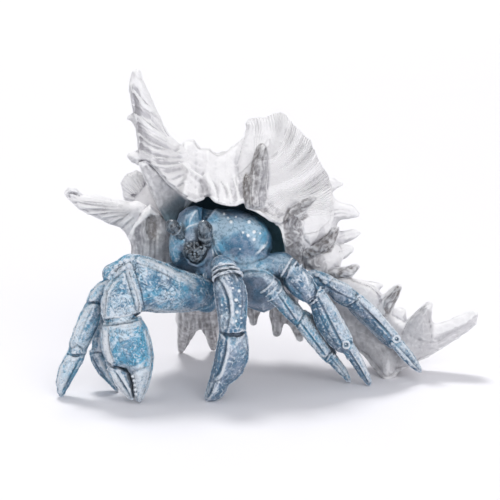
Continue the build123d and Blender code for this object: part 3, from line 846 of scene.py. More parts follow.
def shell_field(lo, hi, h):
    f = Field(lo, hi, h)
    # whorl, swellings and spire
    f.ellipsoid(BODY, (47, 46, 47), 0)
    f.ellipsoid(place(168, 250, 50), (20, 20, 32), 8)
    f.ellipsoid(place(157, 205, 48), (15, 15, 17), 6)
    f.ellipsoid((-28.8, 62.0, 58.0), (27, 27, 26), 8)
    f.ellipsoid(place(222, 190, 46), (30, 20, 20), 8)
    f.chain([(7.6, 56, 96, 38), (-22, 61, 110, 27), (-46, 65, 121, 15), (-62, 66, 127, 6)], 8)
    # fan-shaped flare behind the lip, then the lip's sheet
    f.relief(FAN, [(255, 205, 10), (262, 180, 19), (262, 150, 29), (250, 125, 37), (280, 117, 40), (300, 135, 40), (318, 160, 44), (328, 180, 48), (300, 175, 27), (285, 195, 17), (310, 200, 30), (283, 150, 27), (325, 215, 40), (300, 230, 30)],
             5.0, 4.0, 0.9, 4)
    f.ellipsoid(place(290, 187, 50), (20, 22, 26), 6)
    f.relief(LIP, lip_sheet, 4.0, 3.6, 0.8, 2.5, shape=lambda x, y: np.clip(1.0 - (187.0 - x) * 0.034, 0.3, 1.0))
    rim = [(x, y) for x, y in RIM if 186 < x < 292]
    f.chain([P(x, y - 0.9, float(lip_depth(np.array([x]), np.array([y - 1.0]))[0]) - 3.4, 1.15 + 0.75 * float(smooth01((x - 247.0) / 8.0))) for x, y in rim], 0.9)
    f.chain([(*place(205, 200, 1), 2.6), (*place(203.5, 188, 6), 2.4), (*place(201, 179, 11), 1.2)], 2.5, cut=True)
    # inner side of the lip, left, and the wall below it
    f.relief([(138, 162), (146, 160), (160, 172), (176, 187), (192, 198), (188, 206), (180, 217), (173, 229), (166, 222), (158, 208), (150, 190), (142, 174)],
             [(141, 168, 13), (150, 190, 17), (160, 208, 22), (165, 184, 19), (188, 202, 26), (175, 222, 30)], 2.6, 3.0, 0.9, 2.0)
    f.relief([(127, 233), (131, 246), (131, 258), (142, 264), (160, 270), (178, 272), (182, 252), (178, 238), (171, 227), (160, 212), (150, 204), (140, 212), (130, 224)],
             [(128, 240, 22), (140, 215, 22), (178, 268, 34), (150, 240, 25), (176, 240, 34), (160, 215, 26), (140, 262, 26)], 4.0, 4.0, 1.0, 3.0)
    # scallops right of the first prong
    f.relief([(300, 216), (304, 204), (310, 192), (324, 188), (331, 200), (333, 216), (328, 234), (320, 243), (310, 247), (303, 240), (300, 228)],
             [(302, 236, 12), (330, 210, 29), (310, 205, 20), (316, 190, 31), (326, 194, 36), (312, 232, 15)], 4.4, 6, 1.0, 9)
    f.relief([(304, 254), (318, 250), (331, 241), (340, 246), (343.5, 256), (340, 267), (330, 275), (318, 275), (306, 266)],
             [(306, 258, 18), (342, 260, 30), (330, 242, 27)], 4.5, 6, 1.0, 2.5)
    f.relief([(283, 222), (290, 214), (303, 218), (302, 240), (306, 256), (298, 266), (288, 262), (285, 240)], [(286, 240, 18), (303, 240, 15), (290, 217, 11), (295, 262, 23)], 4, 5, 0.9, 3)
    # siphonal canal with its foot
    f.relief(CANAL, [(320, 285, 50), (383, 330, 43), (386, 376, 25), (474, 318, 39), (430, 345, 41), (350, 330, 46)], 21, 24, 1.2, 6,
             shape=lambda x, y: np.clip(1.0 - (x - 360.0) * 0.0062, 0.33, 1.0))
    f.chain([(83, 46, 24, 13), (85, 34, 12, 7.6), (86, 27, 4, 3.2)], 9, soft=5)
    f.chain([P(430, 334, 35, 4.6), P(446, 328, 34, 4.0), P(460, 322, 34, 3.6), P(473, 316, 35, 2.8)], 5.0)
    # lip prongs, flattened
    f.relief(PRONG_1, [(256, 207, 3.5), (253, 190, 4.5), (257, 168, 6), (262, 146, 6), (246, 180, 8), (268, 195, 8)], 5.4, 5.0, 1.0, 2.6)
    f.relief([(286, 236), (287, 219), (287.5, 208.5), (299, 201.5), (306, 197.6), (313, 196.2), (316.6, 198.4), (312, 204.5), (305.5, 211.5), (302, 220), (299, 235), (292, 245), (286, 244)],
             [(288, 235, 14), (315, 198, -1), (300, 212, 7)], 3.4, 3.4, 0.8, 1.2)
    f.relief([(296, 252), (306, 247), (317.5, 240.5), (327, 233.6), (331.6, 228), (335, 226), (338.8, 226.6), (339.6, 231), (335.5, 242), (331.5, 250), (321, 253.5), (311, 257), (300, 260)],
             [(300, 254, 19), (338, 228, 5), (318, 245, 12)], 4.0, 3.6, 0.8, 1.2)
    f.relief([(316, 268), (330, 267.6), (344, 266.4), (352, 264.4), (357.5, 264), (359.8, 266.8), (356, 272.5), (351, 277.6), (340, 278.5), (325, 279)],
             [(322, 274, 26), (358, 267, 16), (340, 274, 21)], 4.0, 3.8, 0.8, 1.5)
    # canal spines
    f.relief([(376, 309), (379, 301), (384, 296), (390, 289.5), (394.5, 285.4), (398, 284.2), (401, 285), (402, 288.4), (398.6, 297), (395, 305), (391, 312), (388, 321), (378, 322)],
             [(382, 314, 36), (400, 286, 32), (388, 296, 34)], 5.4, 4.6, 1.0, 7.0)
    f.chain([P(387, 309, 28.6, 1.3), P(392.5, 299, 27.6, 1.3), P(398.5, 288, 26.6, 0.8)], 0.9, cut=True)
    f.relief([(400, 342), (402, 330), (407, 320), (415, 312), (422, 306), (427.5, 302), (431, 301.4), (433, 304.5), (432, 314), (431.5, 322), (434, 333), (432, 346), (416, 350)],
             [(412, 338, 35), (430, 303, 32), (420, 318, 33), (430, 340, 34)], 5.6, 6.0, 1.0, 6)
    for pts in (
        [P(318, 187, 57, 6), P(330, 184.5, 60, 3.6), P(341, 184, 61, 1.4)],
        [P(320, 218, 44, 9), P(331, 213, 41, 5.6), P(342, 211, 39, 3.9), P(350, 211.8, 38, 2.9), P(356.2, 214, 38, 1.7)],
        [P(334, 241, 47, 4.6), P(346, 236.4, 46, 2.7), P(353, 234.2, 46, 1.9), P(359.6, 232.6, 46, 0.8)],
        [P(334, 253, 40, 5.4), P(342, 251.4, 38, 3.9), P(349.6, 249.6, 37, 2.5)],
        [P(350, 286, 46, 4.0), P(358, 285.5, 45, 3.0), P(364, 284.5, 45, 2.0)],
        [P(364, 292, 44, 4.6), P(373, 288, 43, 3.2), P(381.4, 285.4, 42, 1.3)],
        [P(395, 323, 44, 6), P(399, 314, 44, 3.4), P(403, 311.5, 45, 1.6)],
        [(-35, 66, 46, 11), (-39, 73, 28, 8.4), (-45.7, 90, 2.2, 2.2)],
        [(-25, 69, 46, 11), (-26, 77, 28, 8.0), (-24.6, 95.2, 2.4, 2.2)],
        [P(252, 290, 60, 8), P(253, 307, 62, 4.6), P(253.5, 322, 63, 2.4)],
        [P(281, 292, 60, 9), P(278, 314, 62, 4.8), P(277, 333, 63, 2.6)],
        [P(285, 296, 58, 7.5), P(294, 318, 60, 4.2), P(300, 338, 61, 2.4)],
        [(25.6, 74.0, 122.0, 10.0), (31, 80.5, 130, 5.5), (36.5, 86.0, 138, 2.0)],
        [(11.6, 82.0, 120.0, 10.0), (13, 91, 128, 5.5), (14.5, 99, 135, 2.0)],
        [(-2.4, 86.0, 112.4, 10.0), (-5.5, 96, 117.5, 5.5), (-8.5, 104.5, 123, 2.0)],
        [(-22.0, 82.0, 100.0, 10.0), (-28, 92, 103, 5.5), (-33, 99, 107, 2.0)],
        [(27.6, 82.0, 76.8, 10.0), (33.5, 91, 72, 5.5), (39, 98.5, 67, 2.0)],
        [(13.6, 87.2, 76.0, 10.0), (15.5, 97, 71, 5.5), (17, 105, 66, 2.0)],
        [(-4.0, 86.0, 72.0, 10.0), (-6.0, 95, 66, 5.5), (-8, 103, 60, 2.0)],
        [(75.0, 66.0, 41.0, 8.5), (79.5, 75, 40, 4.8), (83.5, 82, 39, 1.9)],
        [(91.0, 58.0, 28.5, 9.0), (94.5, 64.5, 29.5, 4.6), (97.5, 69.5, 30.5, 1.8)],
    ):
        f.chain(pts, 5, soft=4)
    # aperture
    f.ellipsoid(place(231, 238, 25), (34, 33, 29.5), 3, cut=True)
    f.relief(OPENING, [(266, 226, 12), (284, 250, 16), (272, 250, 14)], 15, 3.0, 0.8, 1.2, cut=True)
    f.ellipsoid((-20, 2, 66), (26, 20, 25), 4, cut=True)
    f.ellipsoid((17, 0, 74), (20, 15, 16), 4, cut=True)
    # hollow below the left spine, canal slit
    f.ellipsoid(place(153, 227, 19), (4.4, 4.5, 7.5), 2.0, cut=True)
    f.chain([P(433, 339.4, 28.0, 0.7), P(441, 338.4, 28.8, 2.2), P(452, 335.6, 29.8, 3.1), P(466, 328.6, 30.8, 3.1), P(484, 316.4, 32.4, 3.2)], 1.4, cut=True)
    return f


SHELL_RIBS = [
    # pivot in the view, reach (px) from, to, first and last angle (deg), ribs to a turn, height (mm), sweep
]


def ribs(V, N, table, both=False):
    px, py = project(V[:, 0], V[:, 1], V[:, 2])
    move, flow = np.zeros(len(V)), np.zeros(len(V))
    taken = np.zeros(len(V))
    front = np.ones(len(V)) if both else smooth01((-N[:, 1] + 0.35) / 0.4)
    wob = fbm(V, 16.0, 2, 3)
    for (cx, cy), r0, r1, a0, a1, count, high, sweep in table:
        r = np.hypot(px - cx, py - cy)
        th = np.degrees(np.arctan2(py - cy, px - cx))
        mid, half = (a0 + a1) / 2, (a1 - a0) / 2
        da = (th - mid + 180.0) % 360.0 - 180.0
        w = smooth01((half - np.abs(da)) / 14.0 + 0.5) * smooth01((r - r0) / 12.0 + 0.5) * smooth01((r1 - r) / 12.0 + 0.5) * front
        w = w * (1.0 - taken)
        turn = np.radians(da) - sweep * (r - r0) / 100.0 * np.abs(np.cos(np.radians(th)))
        ph = turn * count + wob * 1.6
        tall = 0.6 + 0.4 * noise(np.stack([turn * count / 9.0, r * 0.012, np.zeros_like(r)], 1), 1.0, 5)
        wave = np.sin(ph) * 0.6 + np.sin(ph * 0.41 + 1.3) * 0.7
        move += w * high * wave * tall
        flow += w * ph
        taken = np.maximum(taken, w)
    return move, flow, taken


def spiral(V):
    """Spiral cords and the sunk seam between the turns, round the shell's own axis."""
    v = AXIS_TO - AXIS_FROM
    L = np.linalg.norm(v)
    v = v / L
    s = (V - AXIS_FROM) @ v
    radial = (V - AXIS_FROM) - s[:, None] * v
    e1 = np.cross(v, (0, 0, 1.0))
    e1 /= np.linalg.norm(e1)
    e2 = np.cross(v, e1)
    ang = np.arctan2(radial @ e2, radial @ e1) / (2 * math.pi)
    ph = (s / 6.4 + ang) * 2 * math.pi + fbm(V, 22.0, 2, 9) * 0.8
    cord = 0.28 * np.sin(ph) + 0.16 * np.sin(2.63 * ph)
    left = np.maximum(L - s, 2.0)
    u = np.log(left / 70.0) / math.log(0.62) + ang
    u = u - np.floor(u)
    u = np.minimum(u, 1.0 - u)
    seam = np.exp(-((u * left * 0.5 / 2.4) ** 2)) * smooth01((s - L * 0.64) / 12.0)
    return cord, seam, ph


LEFT_WALL = [(135, 228), (150, 214), (165, 216), (180, 240), (182, 275), (150, 275), (130, 262), (130, 244)]
INNER_LIP = [(140, 167), (150, 164), (166, 182), (186, 200), (180, 220), (172, 230), (164, 219), (157, 206), (149, 190)]
PRONGS = [
    # axis in the view, half width (px), outline, grey, brown, side the brown leans to, ridges, height (mm), furthest depth, warp
    ([(254, 212), (253.5, 190), (257, 168), (262, 144)], 12.0, [(247, 208), (243, 196), (242.6, 184), (244, 175), (246, 172.6), (249.4, 176), (251, 166), (253, 155), (256, 147), (259.4, 143), (264, 142.6), (267.6, 147), (269, 155), (268.4, 170), (266, 186),
      (267, 198), (264, 206), (256, 209)], 0.74, 0.95, -0.60, 5.2, 0.58, 11.0, 0.85),
    ([(286, 215), (300, 207), (315, 198)], 7.0, [(284, 217), (288, 208.5), (299, 202), (306, 198), (313, 196), (317, 198.5), (310.5, 204.5), (305, 211.5), (309, 216.5), (302, 220.5), (293, 216)], 0.62, 0.70, 0.1, 2.6, 0.36, 24.0, 1.6),
    ([(304, 253), (322, 243), (338, 228)], 9.0, [(300, 253), (310, 246), (317.5, 240.5), (327.5, 233), (332, 227.5), (336, 225), (340, 227), (339.6, 232), (335, 244), (331, 252), (320, 254), (310, 258)], 0.86, 0.80, 0.25, 2.8, 0.45, 32.0, 1.8),
    ([(326, 273), (342, 272), (358, 267)], 7.0, [(328, 270), (345, 267.5), (352, 265.5), (359, 264.5), (360, 267), (356, 273), (351.6, 279), (338, 279), (326, 279)], 0.52, 0.85, 0.4, 2.6, 0.36, 45.0, 1.8),
    ([(384, 316), (391, 300), (399, 287)], 7.0, [(384, 300), (390, 294), (397, 285.5), (402, 287), (397, 299), (391, 312), (386, 319), (382, 316)], 0.84, 0.80, 0.5, 2.8, 0.46, 70.0, 1.6),
    ([(292, 210), (294, 236), (300, 264)], 10.0, [(283, 218), (287, 211), (296, 215), (301, 221), (302, 230), (302, 242), (309, 251), (318, 256), (322, 268), (304, 270), (290, 264), (285, 245)], 0.70, 0.50, 0.0, 2.4, 0.42, 44.0, 3.0),
    # On the left wall and the inner lip, next two rows, the grey is painted shade as well as wash.
    ([(150, 206), (154, 238), (152, 274)], 24.0, LEFT_WALL, 0.66, 0.14, 0.0, 8.0, 0.26, 70.0, 0.8),
    ([(142, 168), (156, 196), (175, 228)], 12.0, INNER_LIP, 0.46, 0.12, 0.3, 3.0, 0.24, 50.0, 1.4),
    ([(202, 179), (208, 198)], 6.0, [(200, 178), (206, 180), (216, 195), (207, 198), (200, 199), (198, 190)], 0.42, 0.10, 0.0, 3.0, 0.2, 40.0, 1.0),
    ([(191, 306), (188, 334), (183, 356)], 8.0, [(179, 300), (199, 300), (196, 330), (186, 358), (178, 358), (178, 330)], 0.70, 0.50, 0.0, 5.0, 0.40, 300.0, 0.5),
    ([(203, 306), (206, 334), (212, 356)], 8.0, [(199, 300), (218, 300), (218, 358), (209, 358), (203, 335), (197, 326)], 0.70, 0.50, 0.0, 5.0, 0.40, 300.0, 0.5),
    ([(253, 294), (253.5, 324)], 6.0, [(244, 288), (264, 288), (261, 318), (254, 328), (247, 318)], 0.64, 0.46, 0.0, 4.0, 0.32, 300.0, 1.2),
    ([(280, 294), (277, 336)], 7.0, [(266, 288), (296, 292), (289, 322), (278, 339), (269, 332)], 0.64, 0.46, 0.0, 4.0, 0.32, 300.0, 1.2),
    ([(290, 302), (300, 341)], 7.0, [(280, 298), (304, 305), (304, 332), (301, 343), (291, 330)], 0.64, 0.46, 0.0, 4.0, 0.32, 300.0, 1.2),
    ([(350, 300), (368, 340), (386, 376)], 30.0, [(322, 300), (345, 296), (372, 330), (400, 345), (402, 372), (384, 380), (366, 362), (345, 345), (325, 325)], 0.44, 0.22, 0.0, 6.0, 0.14, 300.0, 1.2),
    ([(312, 256), (326, 272)], 10.0, [(303, 256), (314, 254), (324, 256), (327, 266), (326, 276), (312, 276), (304, 268)], 0.62, 0.30, 0.0, 2.0, 0.3, 44.0, 2.2),
]


def prongs(V, N):
    """Lengthwise ridges of the prongs and folded places, with the grey and brown that the wash leaves there; on the
    left wall, the inner lip and the notch in the lip the grey is painted shade as well.
    """
    px, py = project(V[:, 0], V[:, 1], V[:, 2])
    front = smooth01((-N[:, 1] + 0.30) / 0.4)
    move, grey, brown = np.zeros(len(V)), np.zeros(len(V)), np.zeros(len(V))
    for n, (axis, half, outline, g, b, lean, count, high, deepest, warp) in enumerate(PRONGS):
        q = np.asarray(outline, float)
        i = np.nonzero((px > q[:, 0].min() - 3) & (px < q[:, 0].max() + 3) & (py > q[:, 1].min() - 3) & (py < q[:, 1].max() + 3) & (front > 0.01) & (V[:, 1] < deepest + 5.0))[0]
        if len(i) == 0:
            continue
        w = smooth01(-polygon_distance(px[i], py[i], outline) / 2.4 + 0.5) * front[i] * smooth01((deepest + 4.0 - V[i, 1]) / 4.0)
        across, along = line_frame(px[i], py[i], axis)
        u = across / half
        c = np.stack([u * count + warp * noise(V[i], 6.0, 60 + n), along * (1.2 + 2.1 * warp) + 3.7 * n + 0.5 * warp * noise(V[i], 4.0, 80 + n), np.full(len(i), 0.37)], 1)
        ridge = noise(c, 1.0, 41) * 0.65 + noise(c * np.array([2.3, 1.9, 1.0]), 1.0, 43) * 0.5
        rough = fbm(V[i], 3.0, 2, 47)
        if n == 0:
            g = g * (1.0 - 0.42 * smooth01((168.0 - py[i]) / 20.0))
        move[i] += w * high * (ridge + 0.9 * rough)
        grey[i] = np.maximum(grey[i], w * np.clip(g * (1.0 - (0.3 if n == 0 else 0.65) * ridge - 0.45 * rough), 0.0, 1.0))
        k = 0.4 if n == 0 else 1.0
        brown[i] = np.maximum(brown[i], w * b * np.clip(0.40 + lean * u - k * (0.6 * ridge + 0.7 * rough), 0.0, 1.0))
    return move, grey, brown


FAN_RIM = np.array([(247, 120), (262, 116.5), (275, 113.5), (286, 115.5), (294, 125), (302, 132), (310.5, 140.5), (314, 150), (320, 162), (327, 174), (329.5, 186), (332, 202), (330, 216)])
FAN_ROOT = np.array([(252, 142), (263, 141), (269, 147), (271, 153), (272, 160), (273, 167), (274, 174), (276, 181), (278, 188), (281, 194), (286, 200), (293, 206), (302, 214)])


def growth(V, N):
    """Growth lines of the fan in uneven groups, from beside the first prong out to the rim: height (mm), phase, strength."""
    px, py = project(V[:, 0], V[:, 1], V[:, 2])
    out, phase, strong = np.zeros(len(V)), np.zeros(len(V)), np.zeros(len(V))
    w = smooth01(-polygon_distance(px, py, FAN) / 2.0 + 0.8) * smooth01((-N[:, 1] + 0.25) / 0.3) * smooth01((52.0 - V[:, 1]) / 4.0)
    i = np.nonzero(w > 0.01)[0]
    if len(i) == 0:
        return out, phase, strong
    at, u, t = np.linspace(0.0, 1.0, len(FAN_RIM)), np.linspace(0.0, 1.0, 160), np.linspace(0.0, 1.06, 12)
    e = np.stack([np.interp(u, at, FAN_RIM[:, k]) for k in (0, 1)], 1)
    a = np.stack([np.interp(u, at, FAN_ROOT[:, k]) for k in (0, 1)], 1)
    v = e - a
    bow = np.stack([v[:, 1], -v[:, 0]], 1) * -0.09
    pts = (a[:, None] + v[:, None] * t[None, :, None] + bow[:, None] * (4.0 * t * (1.0 - t))[None, :, None]).reshape(-1, 2)
    U, T = np.repeat(u, len(t)), np.tile(t, len(u))
    for j in range(0, len(i), 1500):
        m = i[j:j + 1500]
        d = (px[m, None] - pts[None, :, 0]) ** 2 + (py[m, None] - pts[None, :, 1]) ** 2
        k = np.exp(-np.minimum((d - d.min(1)[:, None]) / 5.0, 30.0))
        k = k / k.sum(1)[:, None]
        uu, tt = k @ U, k @ T
        z = np.zeros_like(uu)
        line = 0.55 * noise(np.stack([uu * 52.0, tt * 1.2, z], 1), 1.0, 91) + 0.60 * noise(np.stack([uu * 100.0, tt * 1.5, z + 0.3], 1), 1.0, 92) + 0.3 * noise(np.stack([uu * 170.0, tt * 2.0, z + 0.6], 1), 1.0, 93)
        group = 0.45 + 0.9 * np.exp(-((uu - 0.53) / 0.07) ** 2) + 0.8 * np.exp(-((uu - 0.80) / 0.07) ** 2) + 0.6 * np.exp(-((uu - 0.30) / 0.06) ** 2) + 0.3 * np.exp(-((uu - 0.05) / 0.05) ** 2)
        broad = noise(np.stack([uu * 11.0, tt * 0.8, z + 0.9], 1), 1.0, 94) * 0.9
        warp = noise(np.stack([uu * 9.0, tt * 0.7, z + 0.2], 1), 1.0, 95)
        thin = noise(np.stack([uu * 30.0, tt * 1.6, z + 0.7], 1), 1.0, 96)
        phase[m] = 2.0 * math.pi * (58.0 * uu + 2.4 * warp + 0.5 * tt)
        strong[m] = w[m] * np.clip(group * (0.55 + 0.75 * thin) * (0.18 + 0.82 * smooth01((tt - 0.08) / 0.75)), 0.0, 1.3)
        out[m] = w[m] * (line * 0.60 * group * (0.25 + 0.75 * smooth01((tt - 0.1) / 0.6)) + broad * smooth01((tt - 0.15) / 0.6))
    return out, phase, strong


def ruffle(V, N):
    """Crimped folds along the lower rim of the lip."""
    px, py = project(V[:, 0], V[:, 1], V[:, 2])
    above = np.interp(px, RIM[:, 0], RIM[:, 1]) - py
    w = smooth01((above + 4.0) / 5.0) * np.exp(-np.clip(above, 0.0, None) / 15.0) * smooth01((px - 150.0) / 12.0) * smooth01((294.0 - px) / 6.0)
    w = w * smooth01((-N[:, 1] * CE + N[:, 2] * SE) / 0.3) * smooth01((lip_depth(px, py) + 3.0 - V[:, 1]) / 4.0)
    tilt = np.interp(px, (150, 200, 235, 290), (-0.55, -0.25, 0.05, 0.5))
    a = px + tilt * above
    r = noise(np.stack([a * 0.20, above * 0.04, 0.0 * px], 1), 1.0, 17) * 0.8 + noise(np.stack([a * 0.43, above * 0.08, 0.0 * px], 1), 1.0, 18) * 0.55
    return w * r


def finish_shell(name, node, f, table=None, strokes=(), both=False, rough=1.0, wash_lines=(), dims=(), cords=True):
    V, F = keep_largest(*f.mesh(), share=0.02)
    V, ring = settle(f, V, F, 2)
    N = normals(V, F)
    move, flow, taken = ribs(V, N, table or [], both)
    cut, line, light = draw(V, N, strokes)
    move = move * (1.0 - np.maximum(line, light)) + cut
    inside = np.zeros(len(V))
    keep = np.ones(len(V))
    grey = brown = grow_by = back_wash_and_shade = inner_lip_shade = np.zeros(len(V))
    crimp = ruffle(V, N)
    if cords:
        cord, seam, ph = spiral(V)
        back = smooth01((N[:, 1] + 0.25) / 0.5)
        ridge, grey, brown = prongs(V, N)
        lines, phase, grow_by = growth(V, N)
        move = move + lines + (cord - 1.6 * seam) * (1.0 - taken) * back * smooth01((V[:, 1] - 40.0) / 16.0) * (1.0 - smooth01(grey * 4.0)) + ridge
        flow = np.where(grow_by > 0.01, phase, np.where(taken > 0.05, flow, ph * 1.5 * back))
        # The back painted darker grey, deepest in the cords' grooves and the seam: partly wash, partly painted shade.
        back_wash_and_shade = back * smooth01((V[:, 1] - 46.0) / 14.0) * np.clip(0.20 + 0.75 * np.clip(-cord / 0.44, 0.0, 1.0) ** 1.5 + 0.6 * seam + 0.35 * fbm(V, 14.0, 3, 23), 0.0, 0.85)
        c = place(231, 238, 25)
        e = np.sqrt((((V - c) / np.array([34, 33, 29.5])) ** 2).sum(1))
        qx, qy = project(V[:, 0], V[:, 1], V[:, 2])
        inside = smooth01((1.06 - e) / 0.05) * smooth01((V[:, 1] - 4.0) / 10.0)
        inside = np.maximum(inside, smooth01((0.8 - polygon_distance(qx, qy, OPENING)) / 1.2) * smooth01((V[:, 1] - 9.0) / 4.0) * smooth01((60.0 - V[:, 1]) / 4.0))
        # Painted shade on the inner lip, darker towards the aperture.
        deep = ((qx - 152.0) * 0.62 + (qy - 186.0) * 0.78) / 34.0
        inner_lip_shade = smooth01(-polygon_distance(qx, qy, INNER_LIP) / 3.0 + 0.6) * smooth01((-N[:, 1] + 0.4) / 0.4) * smooth01((V[:, 1] - 9.0) / 5.0) * smooth01((deep - 0.10) / 0.95)
        keep = 1.0 - 0.9 * smooth01((1.08 - e) / 0.06)
    bumpy = (fbm(V, 9.0, 3, 1) * 0.30 + fbm(V, 2.8, 2, 4) * 0.14 + (crumple(V, 6.0, 8) - 0.35) * 0.22) * rough
    V = V + N * ((move + bumpy + 0.42 * crimp) * keep)[:, None]
    V[:, 2] = np.maximum(V[:, 2], 0.0)
    N = normals(V, F)
    ao = shade(ALL, V, N, (3.0, 6.0, 11.0))
    cav = hollows(V, F, ring, max(2, int(5 * (0.88 / f.h) ** 2)))
    fold = hollows(V, F, ring, int(45 * (0.60 / f.h) ** 2)) * (1.0 if cords else 1.9)
    px, py = project(V[:, 0], V[:, 1], V[:, 2])
    wash = brown.copy()
    for pts, w, amount in wash_lines:
        d, t = line_distance(px, py, pts)
        wash = np.maximum(wash, amount * np.exp(-((d * PX / w) ** 2)) * smooth01((-N[:, 1] + 0.35) / 0.4) * smooth01((42.0 - V[:, 1]) / 15.0))
    # dim: the prongs' grey, the back's darkening, painted shade on faces turned down, and the places in dims.
    dim = np.maximum(np.maximum(grey, 0.62 * back_wash_and_shade), 0.40 * smooth01((-N[:, 2] - 0.05) / 0.6))
    for poly, amount in dims:
        dim = np.maximum(dim, amount * smooth01(-polygon_distance(px, py, poly) / 5.0 + 0.5) * smooth01((40.0 - V[:, 1]) / 8.0) * smooth01((-N[:, 1] + 0.5) / 0.4))
    # Painted shade in the aperture: darker deeper in and higher up, less so to the right.
    aperture_shade = np.clip(smooth01((V[:, 1] - 12.0) / 26.0) * 0.55 + 0.75 * smooth01((V[:, 2] - 92.0) / 16.0) - 0.35 * smooth01((V[:, 0] - 12.0) / 14.0), 0.0, 1.0)
    # The inner lip's painted shade darkens dim and, where strongest, takes the aperture's colour.
    dim = np.maximum(dim, 0.9 * inner_lip_shade)
    inside = np.maximum(inside, 0.72 * smooth01((inner_lip_shade - 0.35) / 0.6))
    make(name, node, V, F, shell_mat,
         dict(ao=ao, cav=cav, wash=wash, inside=inside, aperture_shade=aperture_shade, flow=flow, line=line, dim=dim, fold=fold, grow=grow_by))


# Places painted darker (dim), mostly painted shade: the notch and the underside of the lip's rim, the inner lip towards
# the aperture, the canal's slit and foot, the faces below its spines, and faintly the lip's top: outline in the view,
# how much.
SHELL_DIM = [
    ([(178, 150), (196, 143), (212, 152), (236, 150), (240, 166), (238, 196), (222, 204), (196, 198), (178, 186)], 0.08),
    ([(200, 178), (206, 182), (214, 197), (206, 199), (198, 196)], 0.55), ([(174, 186), (186, 191), (198, 195), (205, 199), (196, 203), (184, 199), (174, 193)], 0.42),
    ([(212, 199), (224, 203), (236, 201), (236, 204), (222, 206.5), (212, 203)], 0.35),
    ([(160, 197), (172, 195), (188, 202), (184, 216), (175, 232), (166, 221)], 0.62), ([(345, 296), (362, 300), (378, 316), (372, 330), (356, 318)], 0.30),
    ([(430, 339), (441, 334.5), (457, 328), (470, 321), (478, 316.4), (478, 323.4), (466, 331.5), (452, 338.4), (440, 342.4)], 0.66),
    ([(403, 330), (412, 316), (424, 306), (432, 312), (433, 334), (436, 343), (420, 348), (406, 344)], 0.58), ([(384, 306), (394, 322), (406, 330), (410, 344), (394, 342), (380, 322)], 0.62),
    ([(370, 350), (390, 350), (404, 362), (396, 378), (380, 379), (370, 366)], 0.52),
    ([(400, 338), (436, 344), (468, 326), (476, 322), (466, 334), (434, 354), (408, 366), (396, 352)], 0.50), ([(346, 283), (366, 287), (380, 298), (392, 318), (376, 316), (358, 300)], 0.26),
]
SHELL_WASH = [
    ([(152, 219), (153, 236)], 4.4, 0.75),
    ([(253, 208.6), (263.5, 211.6), (268, 216.6), (272, 219.6), (280, 221), (287, 217.6)], 0.7, 0.55),
    ([(251, 203.6), (260, 206), (267, 210.6), (274, 214.6), (283, 213.6)], 0.55, 0.34), ([(270, 205), (277, 209), (285, 211)], 0.5, 0.25),
]
SHELL_LINES = [
    ([(172, 143), (182, 150), (193, 157)], 1.7, 0.75), ([(174, 150), (186, 157), (199, 165)], 2.0, 0.95), ([(176, 157), (188, 164), (202, 173)], 1.8, 0.85), ([(176, 164), (187, 171), (198, 180)], 1.7, 0.80),
    ([(178, 172), (187, 178), (195, 187)], 1.5, 0.70), ([(180, 180), (187, 185), (193, 193)], 1.4, 0.60), ([(173, 147), (184, 153.6), (196, 161)], 1.3, -0.5), ([(175, 160.6), (187, 167.6), (200, 176)], 1.3, -0.5),
    # folds of the lip above its rim
    ([(253, 206), (262, 209.6), (268, 213.6), (273, 217.4), (281, 218)], 0.8, 0.4),
    ([(212, 176), (218, 188), (221, 201)], 2.0, 0.65), ([(222, 182), (226.4, 192), (229, 203)], 1.6, 0.5), ([(231, 180), (233.6, 191), (236, 203)], 1.9, 0.6), ([(239, 186), (240.6, 194), (242, 201)], 1.4, 0.45),
    ([(187, 180), (192, 190), (196, 201)], 1.8, 0.55), ([(206, 176), (212.4, 187), (215.6, 199)], 1.7, -0.9), ([(220, 176), (228, 188), (232, 202)], 1.7, -0.5), ([(235, 178), (238, 191), (239, 200)], 1.5, -0.45),
    ([(270, 200), (274, 208), (281, 214)], 1.6, 0.5), ([(264, 202), (269, 210), (276, 216)], 1.2, -0.45), ([(277, 200), (281, 208), (287, 213)], 1.4, -0.4),
    # first prong's edge against the fan, and the edge of the bright face beside the third
    ([(268.8, 152), (268.4, 170), (267.2, 188), (269.6, 201)], 0.6, 0.45), ([(312, 206), (317, 214), (318, 226), (316, 237)], 2.0, -0.5),
    # growth lines of the canal's broad spine, folds below it
    ([(410, 326), (415, 318), (421, 311.6), (426, 308), (428.4, 310), (429.2, 318), (429.6, 328)], 0.65, 0.36), ([(415, 328), (419, 321), (423, 316.4), (425.6, 315.4), (427, 320), (426.8, 331)], 0.65, 0.34),
    ([(420, 330), (422, 324), (424, 321.6), (425, 324), (424.6, 331)], 0.55, 0.28), ([(407, 325), (412, 315.6), (420, 308.6), (427, 304.6)], 0.5, 0.2), ([(411, 336), (419, 340), (428, 343), (438, 343)], 1.0, 0.5),
    # grooves along the spines at the right
    ([(330, 211), (341, 209), (352, 212)], 0.8, 0.55), ([(328, 216), (340, 213.6), (350, 214.4)], 0.7, 0.45), ([(340, 237), (350, 234.6), (358, 232.8)], 0.6, 0.5), ([(338, 252), (346, 250)], 0.8, 0.5), ([(324, 185), (333, 184.4), (340, 184)], 0.7, 0.5),
]
